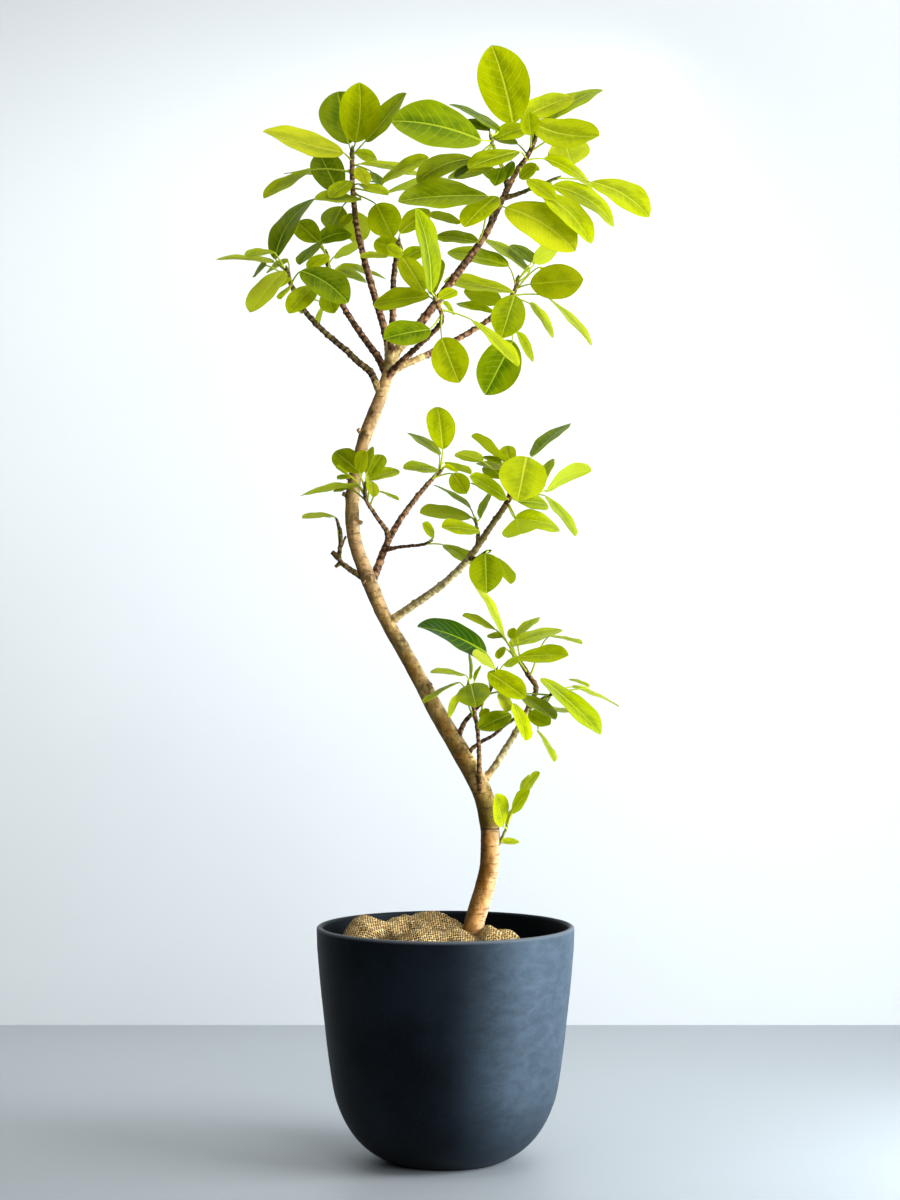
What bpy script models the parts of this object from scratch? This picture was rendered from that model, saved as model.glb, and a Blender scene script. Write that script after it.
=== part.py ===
"""Potted council tree: a leaning trunk with leafy shoots, in a turned pot with burlap on the soil.

Metres, +Z up, origin under the middle of the pot. Places on the plant are given in centimetres
as (across, up) seen from the front, with a depth behind the plane through the pot's axis.
"""
import math

import bmesh
import bpy
from mathutils import Vector
from mathutils.bvhtree import BVHTree

CM = 0.01
EYE = Vector((0.00675, -3.975, 0.838))
GAP = 0.0003

# Pot
POT_OUTSIDE = [
    (0.1885, 0.3500), (0.1918, 0.3485), (0.1932, 0.3440), (0.1925, 0.3200), (0.1880, 0.2660),
    (0.1825, 0.2150), (0.1765, 0.1620), (0.1680, 0.1060), (0.1605, 0.0800), (0.1500, 0.0570),
    (0.1360, 0.0360), (0.1190, 0.0190), (0.1010, 0.0075), (0.0850, 0.0000),
]
POT_WALL = 0.0095
POT_FLOOR = 0.010
POT_STEPS = 32

# Soil
SOIL_RIM_Z = 0.285
SOIL_MOUND = 0.028
SOIL_MOUND_RADIUS = 0.160
SOIL_AIR = 0.001
SOIL_SHARES = [0.0, 0.25, 0.45, 0.65, 0.82, 1.0]
SOIL_STEPS = 24

# Burlap
BURLAP_THICK = 0.0035
BURLAP_AIR = 0.0007
BURLAP_STEPS = 12
BURLAP_CENTRE = (-0.024, -0.004)
BURLAP_HALF = (0.141, 0.125)
BURLAP_LUMPS = [
    (-12.5, -3.0, 3.2, 2.6), (-7.0, -6.5, 3.4, 1.8), (-3.0, -1.0, 4.2, 3.1), (1.5, 3.0, 3.0, 2.2),
    (-9.0, 4.5, 3.4, 2.4), (-1.0, -8.5, 2.8, 1.6), (8.2, -2.4, 2.8, 3.4), (-5.0, 8.0, 3.2, 1.5),
]

# Trunk: across, up, depth, radius
TRUNK = [
    (3.4, 19.0, 0.0, 1.70), (3.4, 25.0, 0.0, 1.68), (3.6, 29.5, 0.0, 1.66), (4.25, 35.0, 0.0, 1.55),
    (4.95, 37.6, 0.0, 1.50), (5.7, 40.0, -0.2, 1.48), (6.35, 42.6, -0.4, 1.45),
    (6.65, 45.0, -0.6, 1.43), (6.6, 50.0, -0.8, 1.42), (5.5, 55.0, -0.6, 1.48),
    (2.85, 60.0, -0.2, 1.42), (-0.1, 65.0, 0.3, 1.33), (-1.85, 68.0, 0.6, 1.25),
    (-2.85, 70.0, 0.8, 1.20), (-5.6, 75.0, 1.2, 1.13), (-9.0, 81.0, 1.6, 1.06),
    (-10.8, 85.0, 1.8, 1.12), (-12.45, 89.3, 1.8, 1.10), (-13.25, 91.4, 1.7, 1.03),
    (-13.75, 93.5, 1.6, 1.06), (-14.0, 96.7, 1.4, 1.06), (-13.75, 101.0, 1.1, 1.02),
    (-12.4, 107.2, 0.6, 0.96), (-11.2, 110.5, 0.3, 1.03), (-9.65, 114.5, 0.1, 0.95),
    (-8.5, 118.2, 0.0, 0.88),
]
TRUNK_ROUND = 2
# Pruned stubs: across, up at the trunk, across, up and depth at the cut, radius
STUBS = [
    (-13.6, 101.9, -15.3, 102.5, 0.4, 0.42), (-12.3, 108.2, -13.3, 109.6, -0.3, 0.34),
    (-13.9, 99.0, -15.2, 99.7, 1.6, 0.36), (-13.9, 95.6, -12.3, 95.3, 0.6, 0.36),
    (-6.2, 77.2, -7.6, 78.6, 0.8, 0.40), (-2.4, 70.4, -2.0, 71.9, -0.6, 0.42),
    (4.1, 58.0, 2.6, 58.8, -1.2, 0.42), (-11.1, 86.4, -12.6, 87.0, 0.8, 0.50),
]

# Branches: name, parent, route seen from the front, radius at foot and end, depth at the end,
# stub on the parent, length of the leafy end (all in cm)
BRANCHES = [
    ("far_left_branch", "trunk", [(-10.0, 115.0), (-11.2, 117.9), (-13.1, 119.5), (-14.6, 121.0),
     (-17.0, 123.0), (-19.4, 125.2), (-21.1, 127.2), (-22.4, 129.5), (-23.3, 131.5),
     (-23.8, 133.5)], 0.54, 0.30, -11.0, 3.6, 5.2),
    ("left_branch", "trunk", [(-8.8, 117.7), (-10.0, 120.0), (-11.8, 122.5), (-13.9, 125.5),
     (-15.7, 128.5), (-16.8, 131.0), (-17.3, 132.5), (-17.8, 135.0), (-17.9, 136.0)],
     0.56, 0.30, 9.0, 3.4, 5.0),
    ("tall_left_branch", "trunk", [(-8.6, 118.0), (-8.6, 121.8), (-9.1, 124.2), (-10.2, 128.0),
     (-11.4, 132.0), (-12.45, 136.0), (-13.35, 140.0), (-13.7, 143.0), (-14.0, 147.0),
     (-14.0, 151.5)], 0.62, 0.32, 13.0, 3.6, 10.0),
    ("middle_branch", "trunk", [(-8.6, 118.1), (-8.05, 123.0), (-7.95, 126.0), (-7.8, 129.0),
     (-7.8, 132.0), (-7.35, 135.2), (-7.0, 137.6)], 0.56, 0.34, -7.0, 4.4, 3.4),
    ("leader", "trunk", [(-8.5, 118.1), (-7.3, 121.1), (-5.8, 122.8), (-3.45, 125.7), (-1.5, 128.3),
     (1.2, 132.0), (4.2, 136.0), (6.2, 139.0), (8.1, 143.0), (9.6, 146.0), (10.9, 148.5),
     (12.0, 149.9), (13.1, 152.0), (13.7, 154.0)], 0.74, 0.32, 1.0, 4.2, 6.4),
    ("front_branch", "trunk", [(-9.0, 116.8), (-7.5, 118.7), (-5.05, 121.0), (-2.6, 123.3),
     (-0.7, 125.3), (-0.6, 126.8), (-1.2, 128.2), (-1.7, 129.6)], 0.48, 0.27, -12.0, 3.6, 4.6),
    ("right_branch", "trunk", [(-8.9, 117.3), (-7.2, 118.6), (-5.0, 119.6), (-2.5, 120.7),
     (1.0, 122.5), (5.0, 124.8), (6.9, 126.2), (8.7, 128.0), (10.3, 130.0), (10.9, 132.2)],
     0.55, 0.30, 13.0, 4.6, 7.0),
    ("crossing_branch", "trunk", [(-10.9, 85.6), (-10.75, 87.2), (-10.15, 88.7), (-9.4, 90.8),
     (-8.3, 93.3), (-7.2, 95.2), (-6.0, 97.0), (-4.1, 99.5), (-2.1, 101.8), (-0.5, 103.4)],
     0.64, 0.27, 7.0, 2.4, 3.0),
    ("pale_limb", "trunk", [(-8.9, 80.6), (-7.0, 81.5), (-5.0, 82.9), (-2.0, 85.0), (0.0, 86.5),
     (2.5, 88.9), (4.2, 91.0), (5.9, 93.5), (7.4, 95.7), (9.0, 98.0), (9.8, 99.8), (10.4, 101.0)],
     0.62, 0.38, -9.0, 2.6, 3.6),
    ("low_right_branch", "trunk", [(5.4, 56.2), (6.6, 57.8), (7.75, 59.4), (9.0, 61.5),
     (10.2, 63.4), (11.2, 65.2), (12.5, 67.8), (13.4, 69.6), (13.6, 70.8), (12.6, 72.3),
     (11.3, 74.4), (10.0, 75.9)], 0.54, 0.30, 6.0, 2.3, 5.4),
]

# Leafy shoots: name, parent, route, radius at foot and end, depth at the end, stub, leaves.
# A leaf: base and tip of the blade, width seen (negative where its underside shows), way of the
# tip (1 back, -1 forward) and length of the blade, in cm. Then, for a blade that isn't straight,
# how far its middle bows to the right of its way in cm, and the share by which it turns its face
# away towards its tip. Leaves go from the foot to the end.
# A route of None grows on from the end of the parent.
SHOOTS = [
    ("far_left_shoot", "far_left_branch", None, [
        (-18.3, 128.3, -19.0, 125.3, -0.9, 1, 5.0), (-18.0, 130.0, -16.7, 126.9, 3.2, -1, 5.0),
        (-19.6, 131.0, -23.5, 126.9, 3.2, -1, 6.8), (-22.0, 130.0, -22.0, 126.9, 1.8, 1, 5.0),
        (-23.4, 132.2, -25.4, 130.6, 1.2, -1, 3.8), (-23.5, 130.8, -24.7, 129.0, 1.0, -1, 4.0),
        (-21.7, 133.2, -14.6, 128.5, 4.5, -1, 9.4, -0.5), (-24.2, 133.2, -29.4, 127.1, 3.2, -1, 9.0),
        (-23.6, 134.6, -26.8, 133.2, 1.0, 1, 5.0), (-26.9, 134.0, -28.8, 132.6, 1.0, 1, 4.5),
        (-26.0, 136.2, -29.8, 135.3, 1.3, -1, 6.0), (-25.7, 134.4, -34.4, 135.1, 0.9, 1, 9.2),
        (-25.6, 134.9, -19.7, 144.2, 3.0, 1, 11.6, -0.9, 0.15)]),
    ("left_shoot", "left_branch", None, [
        (-15.8, 134.0, -8.8, 132.0, 0.9, 1, 8.0), (-16.5, 133.2, -11.9, 131.8, 1.6, 1, 6.5),
        (-17.6, 135.6, -20.6, 133.4, 2.0, -1, 5.0), (-16.7, 135.3, -12.9, 136.9, -1.6, 1, 5.5),
        (-18.7, 137.5, -21.9, 134.2, 1.6, -1, 6.5), (-19.0, 137.5, -22.3, 140.6, 3.6, 1, 6.5),
        (-19.2, 137.4, -14.2, 138.9, 2.8, 1, 6.6, -0.4)]),
    ("tall_left_shoot", "tall_left_branch", None, [
        (-13.9, 141.8, -15.6, 139.9, 1.4, -1, 3.6), (-13.2, 142.0, -13.3, 137.3, -4.2, 1, 7.4),
        (-15.5, 142.8, -17.4, 139.2, 4.5, 1, 7.5), (-10.4, 143.2, -7.9, 138.3, 5.2, -1, 8.2),
        (-12.6, 143.9, -19.6, 144.0, 1.6, -1, 8.2), (-9.4, 144.6, 1.8, 145.2, -1.6, 1, 12.0, -0.9),
        (-12.9, 146.2, -8.6, 144.6, 1.4, -1, 5.4), (-14.2, 146.6, -17.4, 144.2, 2.4, -1, 5.2),
        (-16.0, 144.8, -19.0, 151.0, 5.0, 1, 9.0), (-9.8, 146.4, -2.6, 150.3, 2.0, -1, 9.0),
        (-13.2, 148.7, -11.8, 146.1, 2.2, -1, 4.4), (-20.4, 148.3, -27.3, 144.2, 1.8, -1, 8.8),
        (-16.3, 147.6, -24.2, 147.9, 0.9, 1, 8.6), (-12.8, 149.2, -3.1, 147.5, 1.3, 1, 10.4),
        (-11.0, 148.0, -9.8, 145.9, 1.5, -1, 3.8),
        (-15.3, 150.9, -27.3, 154.3, 3.4, -1, 13.2, -0.5, 0.35),
        (-13.5, 150.8, -10.2, 149.9, 2.0, 1, 4.4), (-12.0, 152.6, -6.0, 159.9, 2.7, -1, 10.4, 0.3, 0.2),
        (-14.5, 152.2, -16.2, 160.2, 7.4, 1, 9.6), (-13.5, 152.4, -12.9, 161.4, 6.4, -1, 10.0, 0.4)]),
    ("middle_shoot", "middle_branch", None, [
        (-6.5, 135.3, -3.3, 130.1, 3.6, -1, 7.2), (-8.7, 135.4, -12.8, 135.3, 1.0, -1, 4.8),
        (-6.6, 134.7, -3.2, 136.6, 2.2, 1, 4.6), (-6.5, 135.5, -8.9, 136.8, 1.8, -1, 3.6),
        (-6.4, 136.0, -10.7, 137.7, 3.1, 1, 5.8), (-6.8, 138.8, -2.5, 142.5, 3.0, 1, 6.4)]),
    ("leader_shoot", "leader", None, [
        (11.2, 147.0, 13.6, 149.2, 2.0, -1, 3.8), (12.0, 148.9, 14.1, 148.3, 1.0, -1, 2.6),
        (14.7, 150.0, 22.3, 145.3, 1.8, 1, 9.6, -0.5), (11.0, 151.1, 3.4, 148.7, 2.5, -1, 8.6),
        (10.8, 152.2, 6.8, 153.4, 1.4, 1, 4.6), (17.5, 153.7, 19.1, 148.9, 6.6, 1, 9.4),
        (12.8, 153.5, 12.5, 157.0, 3.0, -1, 5.4), (12.6, 154.9, 7.5, 153.1, 2.6, -1, 6.4),
        (13.1, 155.4, 23.0, 153.6, 4.4, -1, 11.6, 1.0), (14.9, 155.3, 23.4, 160.6, 2.6, 1, 11.0, -0.3),
        (11.2, 156.0, 19.1, 159.4, 3.5, 1, 9.4), (10.2, 155.2, 6.95, 167.0, 7.7, -1, 12.9, 0.3)]),
    ("leader_left_shoot", "leader", [(9.3, 145.6), (8.9, 147.6), (8.2, 149.6), (7.3, 151.6),
     (6.7, 153.6)], [
        (8.7, 146.5, 5.8, 148.5, 2.0, 1, 4.4), (8.3, 148.6, 7.4, 146.0, 2.4, -1, 4.4),
        (10.0, 149.6, 8.9, 146.8, 1.8, -1, 4.0), (7.0, 148.4, 0.3, 147.4, 2.0, 1, 7.6),
        (3.9, 148.9, 1.2, 147.5, 1.4, 1, 4.0), (4.1, 150.0, -4.3, 146.6, 3.2, -1, 9.6, 0.6),
        (5.4, 152.7, -8.1, 155.8, 6.3, -1, 14.4, 0.5), (6.6, 154.2, 1.7, 155.8, 1.6, 1, 6.2),
        (8.0, 154.0, 0.8, 158.4, 1.3, 1, 9.6)],
     0.34, 0.22, -4.5, 1.8),
    ("leader_right_shoot", "leader", [(9.0, 144.2), (10.6, 144.6), (12.6, 145.4), (14.6, 146.2),
     (16.9, 147.2)], [
        (12.2, 146.9, 16.5, 143.9, 2.4, -1, 5.6), (14.3, 144.9, 22.0, 137.4, 3.4, -1, 11.2, -0.6),
        (16.0, 145.9, 25.5, 140.0, 3.0, 1, 11.8, -0.9), (21.8, 146.5, 30.6, 141.4, 3.9, -1, 10.8, -0.7)],
     0.32, 0.20, -3.0, 1.6),
    ("leader_low_shoot", "leader", [(6.5, 140.0), (6.9, 141.4), (6.4, 142.6), (6.3, 144.0)], [
        (4.9, 137.5, -1.5, 138.5, 2.0, 1, 7.0), (2.3, 140.5, -2.4, 141.5, -1.5, 1, 5.6),
        (9.0, 142.7, 19.5, 136.3, 6.1, -1, 13.2, -0.7), (7.7, 144.4, 2.8, 139.9, 3.5, -1, 8.8),
        (4.9, 144.1, -3.7, 146.5, 2.5, 1, 9.4), (6.4, 144.4, -7.1, 143.8, 3.7, -1, 14.0)],
     0.30, 0.20, -2.6, 1.4),
    ("front_shoot", "front_branch", None, [
        (-2.3, 124.4, -9.2, 123.1, 3.8, -1, 8.4), (-0.6, 123.1, 2.0, 116.5, 5.4, -1, 8.8),
        (4.0, 125.8, 11.0, 119.0, 1.7, -1, 10.4), (-0.4, 128.4, 1.4, 126.8, 0.9, 1, 3.6),
        (-2.4, 129.3, -10.9, 128.3, 3.0, 1, 9.4), (-1.0, 129.0, 1.7, 130.3, 1.8, 1, 4.0),
        (-1.9, 129.5, -0.9, 135.0, 2.4, 1, 6.2), (-2.2, 130.0, -4.3, 142.6, 3.1, -1, 13.2, 0.4, 0.2)]),
    ("right_shoot", "right_branch", None, [
        (7.3, 126.8, 1.6, 128.4, 1.3, 1, 6.6), (8.4, 128.9, 2.8, 130.1, -3.4, 1, 6.8),
        (10.1, 122.7, 6.0, 114.7, 6.5, -1, 11.0), (10.6, 124.0, 13.3, 119.6, 1.5, 1, 6.0),
        (10.4, 129.5, 8.4, 123.2, 5.2, -1, 9.0), (12.6, 128.3, 16.4, 123.3, 1.5, 1, 7.6),
        (15.1, 129.4, 22.0, 122.1, 1.0, -1, 10.8), (10.2, 130.0, -0.2, 131.7, 2.2, -1, 10.9),
        (14.2, 133.8, 16.1, 132.2, 0.9, -1, 3.4), (12.7, 131.2, 20.6, 131.9, 5.4, -1, 9.2),
        (9.5, 133.9, 0.3, 136.2, 2.7, 1, 10.0), (12.6, 132.9, 5.8, 138.2, 1.6, 1, 9.4),
        (13.1, 134.6, 16.9, 136.8, -2.8, 1, 5.4), (13.4, 134.3, 9.8, 137.2, 2.0, 1, 5.6)]),
    ("crossing_shoot", "crossing_branch", None, [
        (-1.1, 103.4, -6.25, 103.6, 1.6, -1, 6.6), (1.1, 102.8, 3.1, 99.8, 3.0, -1, 5.4),
        (-0.3, 103.8, 1.9, 103.2, 0.8, 1, 3.0), (-0.2, 104.5, 3.8, 102.8, -1.1, 1, 5.2),
        (-0.9, 105.5, -5.5, 109.0, 1.4, 1, 7.2), (-0.4, 106.4, -1.1, 112.9, 4.4, 1, 8.2)]),
    ("inner_shoot", "crossing_branch", [(-8.6, 92.6), (-8.9, 94.3), (-10.0, 95.8), (-11.0, 97.3),
     (-12.0, 99.0), (-12.0, 101.2)], [
        (-10.2, 100.2, -7.0, 98.8, 0.5, -1, 4.0), (-12.8, 100.9, -21.8, 99.6, -0.9, -1, 9.6),
        (-11.2, 101.7, -10.8, 99.3, 1.8, -1, 3.6), (-14.7, 100.6, -16.8, 100.1, 0.7, -1, 3.0),
        (-11.6, 101.8, -7.0, 103.4, 1.9, 1, 6.0), (-14.2, 102.4, -16.2, 102.0, 0.8, -1, 3.0),
        (-14.5, 102.6, -16.4, 103.7, 0.6, -1, 3.0), (-12.9, 103.0, -16.6, 106.2, 3.6, 1, 6.6),
        (-11.6, 102.3, -9.5, 105.7, 2.8, 1, 5.4), (-11.8, 103.0, -11.2, 106.8, 1.6, 1, 5.2),
        (-13.1, 103.0, -12.0, 106.1, 2.2, -1, 4.8)], 0.36, 0.20, -4.0, 1.6),
    ("spur_shoot", "crossing_branch", [(-9.3, 91.4), (-7.2, 91.7), (-5.5, 91.9), (-3.5, 92.1),
     (-2.2, 92.6)], [
        (-0.3, 92.1, 4.3, 89.2, 1.9, -1, 6.6), (-1.7, 93.4, -3.4, 95.3, 1.5, -1, 3.6)],
     0.26, 0.17, -2.0, 1.6),
    ("outer_left_shoot", "trunk", [(-12.0, 87.0), (-13.2, 87.7), (-14.6, 88.6), (-15.9, 89.8),
     (-15.8, 91.8), (-15.7, 93.8), (-16.3, 95.8)], [
        (-16.7, 96.4, -21.5, 96.2, 0.9, -1, 5.6)],
     0.44, 0.20, -1.5, 2.3),
    ("limb_shoot", "pale_limb", None, [
        (10.4, 95.9, 17.2, 94.5, 2.6, 1, 8.2, -0.3), (10.6, 96.0, 11.3, 93.5, -5.2, -1, 7.8),
        (8.9, 99.1, 3.8, 101.5, 1.1, 1, 6.8), (9.2, 99.0, 3.7, 102.4, 2.3, -1, 7.4),
        (15.0, 99.5, 19.5, 93.5, 1.4, -1, 8.8), (10.8, 98.6, 15.4, 98.2, 2.5, 1, 6.6),
        (15.0, 100.1, 21.8, 103.3, -2.2, 1, 9.0, -0.5), (14.6, 101.2, 15.8, 105.0, 1.8, 1, 5.4),
        (12.6, 102.2, 4.6, 104.5, 1.3, 1, 9.0),
        (9.2, 102.0, 5.8, 104.0, 2.5, 1, 5.4), (8.3, 104.3, 5.6, 105.4, 1.0, 1, 3.8),
        (9.0, 104.8, 4.0, 108.4, -1.5, 1, 7.4), (5.6, 104.6, 1.5, 105.9, -1.8, -1, 5.4),
        (9.9, 104.0, 8.9, 107.0, 2.6, 1, 4.6),
        (13.0, 105.3, 18.4, 110.4, 1.8, 1, 9.2), (12.2, 105.3, 10.9, 98.9, 7.0, -1, 12.0)]),
    ("limb_side_shoot", "pale_limb", [(4.7, 91.8), (4.9, 93.4), (4.7, 94.7), (4.6, 95.8)], [
        (5.0, 94.2, -0.5, 94.8, 2.1, -1, 7.0), (3.8, 96.3, -3.8, 97.0, -2.2, 1, 8.6),
        (3.7, 97.6, -1.8, 101.2, 0.7, 1, 7.4), (5.3, 96.1, 6.6, 100.1, 1.2, 1, 5.2)],
     0.26, 0.17, -5.0, 1.7),
    ("limb_low_shoot", "pale_limb", [(3.4, 90.2), (4.6, 90.0), (5.9, 90.9), (6.7, 91.2)], [
        (7.7, 90.2, 9.8, 86.3, -2.0, 1, 6.0), (6.0, 90.8, 6.2, 85.0, 5.0, -1, 8.8)],
     0.28, 0.18, -8.0, 1.2),
    ("low_right_shoot", "low_right_branch", None, [
        (15.5, 78.4, 20.5, 77.3, 0.6, -1, 6.2), (10.8, 75.2, 18.4, 75.6, 2.6, -1, 8.6),
        (8.6, 76.8, 8.0, 75.0, 1.4, -1, 3.2), (9.5, 76.8, 17.5, 79.5, 2.0, 1, 9.4),
        (8.5, 78.2, 6.3, 78.6, 1.1, 1, 3.2), (10.8, 78.3, 13.9, 81.3, 1.4, 1, 5.6),
        (7.5, 79.4, 2.6, 81.5, -1.1, 1, 6.4), (9.8, 78.0, 10.3, 79.6, 1.6, -1, 2.6),
        (8.9, 78.1, 4.4, 86.3, 1.2, -1, 9.8)]),
    ("low_right_side_shoot", "low_right_branch", [(12.6, 68.0), (14.2, 68.8), (15.4, 69.4),
     (16.6, 70.0)], [
        (13.8, 64.3, 16.4, 59.6, 0.9, -1, 6.4), (12.5, 67.0, 15.7, 65.2, 2.6, -1, 4.8),
        (11.3, 69.6, 16.5, 66.0, 2.0, -1, 7.8), (15.0, 67.4, 21.0, 66.5, 0.7, 1, 7.2),
        (14.3, 72.1, 23.4, 63.8, 2.9, -1, 13.0), (21.6, 70.8, 18.5, 72.0, 0.6, 1, 4.0),
        (19.0, 70.8, 26.1, 67.9, 0.6, 1, 8.4)], 0.26, 0.17, -1.5, 1.3),
    ("upright_shoot", "trunk", [(5.7, 51.8), (5.35, 53.8), (5.1, 55.8), (5.05, 58.5),
     (5.0, 62.0), (4.7, 65.0), (4.3, 67.3), (3.7, 69.6), (3.4, 71.2)], [
        (2.4, 69.6, 0.3, 66.4, -1.3, -1, 5.0), (2.2, 71.5, -3.4, 68.4, 0.7, -1, 7.4),
        (3.8, 71.2, 4.6, 67.9, 5.0, -1, 7.2), (3.2, 72.5, -2.2, 73.0, 0.8, -1, 6.4),
        (4.4, 71.7, 5.2, 74.0, 0.6, 1, 3.0), (3.6, 71.9, 3.6, 75.9, 0.6, 1, 4.8)],
     0.40, 0.20, -7.5, 6.2),
    ("knee_shoot", "trunk", [(0.8, 62.6), (1.9, 63.2), (2.7, 65.2), (4.2, 67.0), (5.0, 68.0),
     (6.3, 69.6), (7.0, 70.9), (7.5, 72.4), (7.7, 73.4)], [
        (5.2, 66.0, 6.5, 67.4, 1.6, -1, 2.6), (8.6, 70.0, 9.0, 67.1, 2.0, -1, 4.8),
        (6.4, 73.0, 12.0, 69.2, 3.6, -1, 7.4), (8.9, 74.3, 10.9, 74.5, 1.5, -1, 3.6),
        (7.3, 73.9, 4.1, 75.7, 1.6, -1, 5.6), (6.2, 75.8, -4.1, 80.0, 3.5, -1, 12.4, 0.35, 0.75)],
     0.36, 0.20, -3.0, 1.8),
    ("low_twig_shoot", "trunk", [(2.9, 60.1), (4.1, 61.6), (5.5, 62.6), (7.3, 63.6), (9.0, 65.1),
     (11.0, 66.3)], [
        (9.8, 66.7, 5.0, 64.5, 3.0, -1, 6.4), (10.4, 68.3, 12.1, 62.8, 2.2, -1, 7.4)],
     0.28, 0.19, -4.5, 2.1),
    ("foot_shoot", "trunk", [(6.5, 45.9), (7.8, 47.0), (8.4, 48.0), (9.0, 49.3), (9.5, 50.8)], [
        (8.4, 47.4, 11.0, 47.7, 1.1, 1, 3.4), (8.6, 49.9, 7.6, 54.6, 2.5, -1, 6.4),
        (9.3, 50.0, 9.7, 52.4, 0.9, 1, 3.2), (9.9, 52.0, 12.6, 55.2, 1.9, -1, 5.4),
        (11.6, 54.8, 14.1, 57.9, 1.4, -1, 5.0), (11.7, 55.1, 12.2, 57.5, 1.1, 1, 4.0)],
     0.20, 0.15, -1.8, 2.5),
]

# Leaf
WIDTH_TO_LENGTH = 0.56
BLADE_THICK = 0.0007
BLADE_ARCH = 0.020
BLADE_FOLD = 0.10
EDGE_WAVE = 0.026
STALK_RADIUS = 0.0011
STALK_LONGEST = 4.6
# Shares of the blade's length that its rows stand at, for leaves up to a length in cm
BLADE_ROWS = [(4.6, [0.52, 1.0]), (7.6, [0.34, 0.76, 1.0]), (99.0, [0.24, 0.56, 0.86, 1.0])]
LEAFY_FOOT = 0.006
LEAFY_END = 0.004
CLEAR_STEP = 0.7
CLEAR_TRIES = 14
CLEAR_AIR = 0.0016

# Bevel resolution of side stems: 1 gives 6 sides
BRANCH_ROUND = 1
TWIG_ROUND = 1
BRANCH_STEP = 2.2
TWIG_STEP = 1.6
END_SPAN = 0.001
TRUNK_STEP = 3.2

COLORS = {
    "pot": ((0.026, 0.031, 0.042, 1), 0.55),
    "soil": ((0.035, 0.024, 0.016, 1), 0.95),
    "burlap": ((0.42, 0.29, 0.14, 1), 0.9),
    "trunk": ((0.36, 0.28, 0.19, 1), 0.75),
    "branch": ((0.17, 0.10, 0.06, 1), 0.75),
    "shoot": ((0.42, 0.52, 0.12, 1), 0.4),
}

for item in list(bpy.data.objects):
    bpy.data.objects.remove(item, do_unlink=True)
parts = bpy.data.collections.new("parts")
cutters = bpy.data.collections.new("cutters")
bpy.context.scene.collection.children.link(parts)
bpy.context.scene.collection.children.link(cutters)


def place(across, up, depth=0.0):
    """The point seen at (across, up) from the front, depth cm behind the plane of the pot's axis."""
    flat = Vector((across * CM, 0.0, up * CM))
    return EYE + (flat - EYE) * (1.0 + depth * CM / -EYE.y)


def seen_depth(point):
    """How far behind the plane of the pot's axis a point lies, in cm along the view."""
    return point.y / CM


def in_place(mesh_object, material):
    color, rough = COLORS[material]
    name = mesh_object.name + "_material"
    mat = bpy.data.materials.new(name)
    mat.use_nodes = True
    shader = mat.node_tree.nodes["Principled BSDF"]
    shader.inputs["Base Color"].default_value = color
    shader.inputs["Roughness"].default_value = rough
    mat.diffuse_color = color
    mesh_object.data.materials.clear()
    mesh_object.data.materials.append(mat)
    parts.objects.link(mesh_object)
    return mesh_object


def mesh_from(name, points, faces):
    mesh = bpy.data.meshes.new(name)
    mesh.from_pydata([tuple(p) for p in points], [], faces)
    mesh.update()
    return mesh


def smooth_route(points, step):
    """A Catmull-Rom curve through points (vectors of any size), sampled about every step."""
    ends = [points[0] * 2 - points[1]] + points + [points[-1] * 2 - points[-2]]
    fine = []
    for a, b, c, d in zip(ends, ends[1:], ends[2:], ends[3:]):
        count = max(2, int((Vector(c[:3]) - Vector(b[:3])).length / (0.25 * step)))
        for k in range(count):
            t = k / count
            fine.append(0.5 * ((2 * b) + (c - a) * t + (2 * a - 5 * b + 4 * c - d) * t * t
                               + (3 * b - a - 3 * c + d) * t ** 3))
    fine.append(points[-1])
    runs = [0.0]
    for a, b in zip(fine, fine[1:]):
        runs.append(runs[-1] + (Vector(b[:3]) - Vector(a[:3])).length)
    return fine, runs


def along(fine, runs, distance):
    distance = min(max(distance, 0.0), runs[-1])
    for k in range(1, len(runs)):
        if runs[k] >= distance:
            span = runs[k] - runs[k - 1]
            t = 0.0 if span < 1e-9 else (distance - runs[k - 1]) / span
            return fine[k - 1].lerp(fine[k], t)
    return fine[-1].copy()


def tube(rings, radii, resolution):
    """Points and faces of a round stem: a poly curve with a bevel and filled ends, as a mesh."""
    curve = bpy.data.curves.new("stem", "CURVE")
    curve.dimensions = "3D"
    curve.bevel_depth = 1.0
    curve.bevel_resolution = resolution
    curve.use_fill_caps = True
    line = curve.splines.new("POLY")
    line.points.add(len(rings) - 1)
    for point, centre, radius in zip(line.points, rings, radii):
        point.co = (*centre, 1.0)
        point.radius = radius
    stem = bpy.data.objects.new("stem", curve)
    bpy.context.scene.collection.objects.link(stem)
    graph = bpy.context.evaluated_depsgraph_get()
    mesh = bpy.data.meshes.new_from_object(stem.evaluated_get(graph))
    shell = bmesh.new()
    shell.from_mesh(mesh)
    bmesh.ops.remove_doubles(shell, verts=shell.verts[:], dist=0.00001)
    bmesh.ops.recalc_face_normals(shell, faces=shell.faces[:])
    shell.verts.index_update()
    points = [v.co.copy() for v in shell.verts]
    faces = [tuple(v.index for v in face.verts) for face in shell.faces]
    shell.free()
    bpy.data.objects.remove(stem, do_unlink=True)
    bpy.data.curves.remove(curve)
    return points, faces


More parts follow.
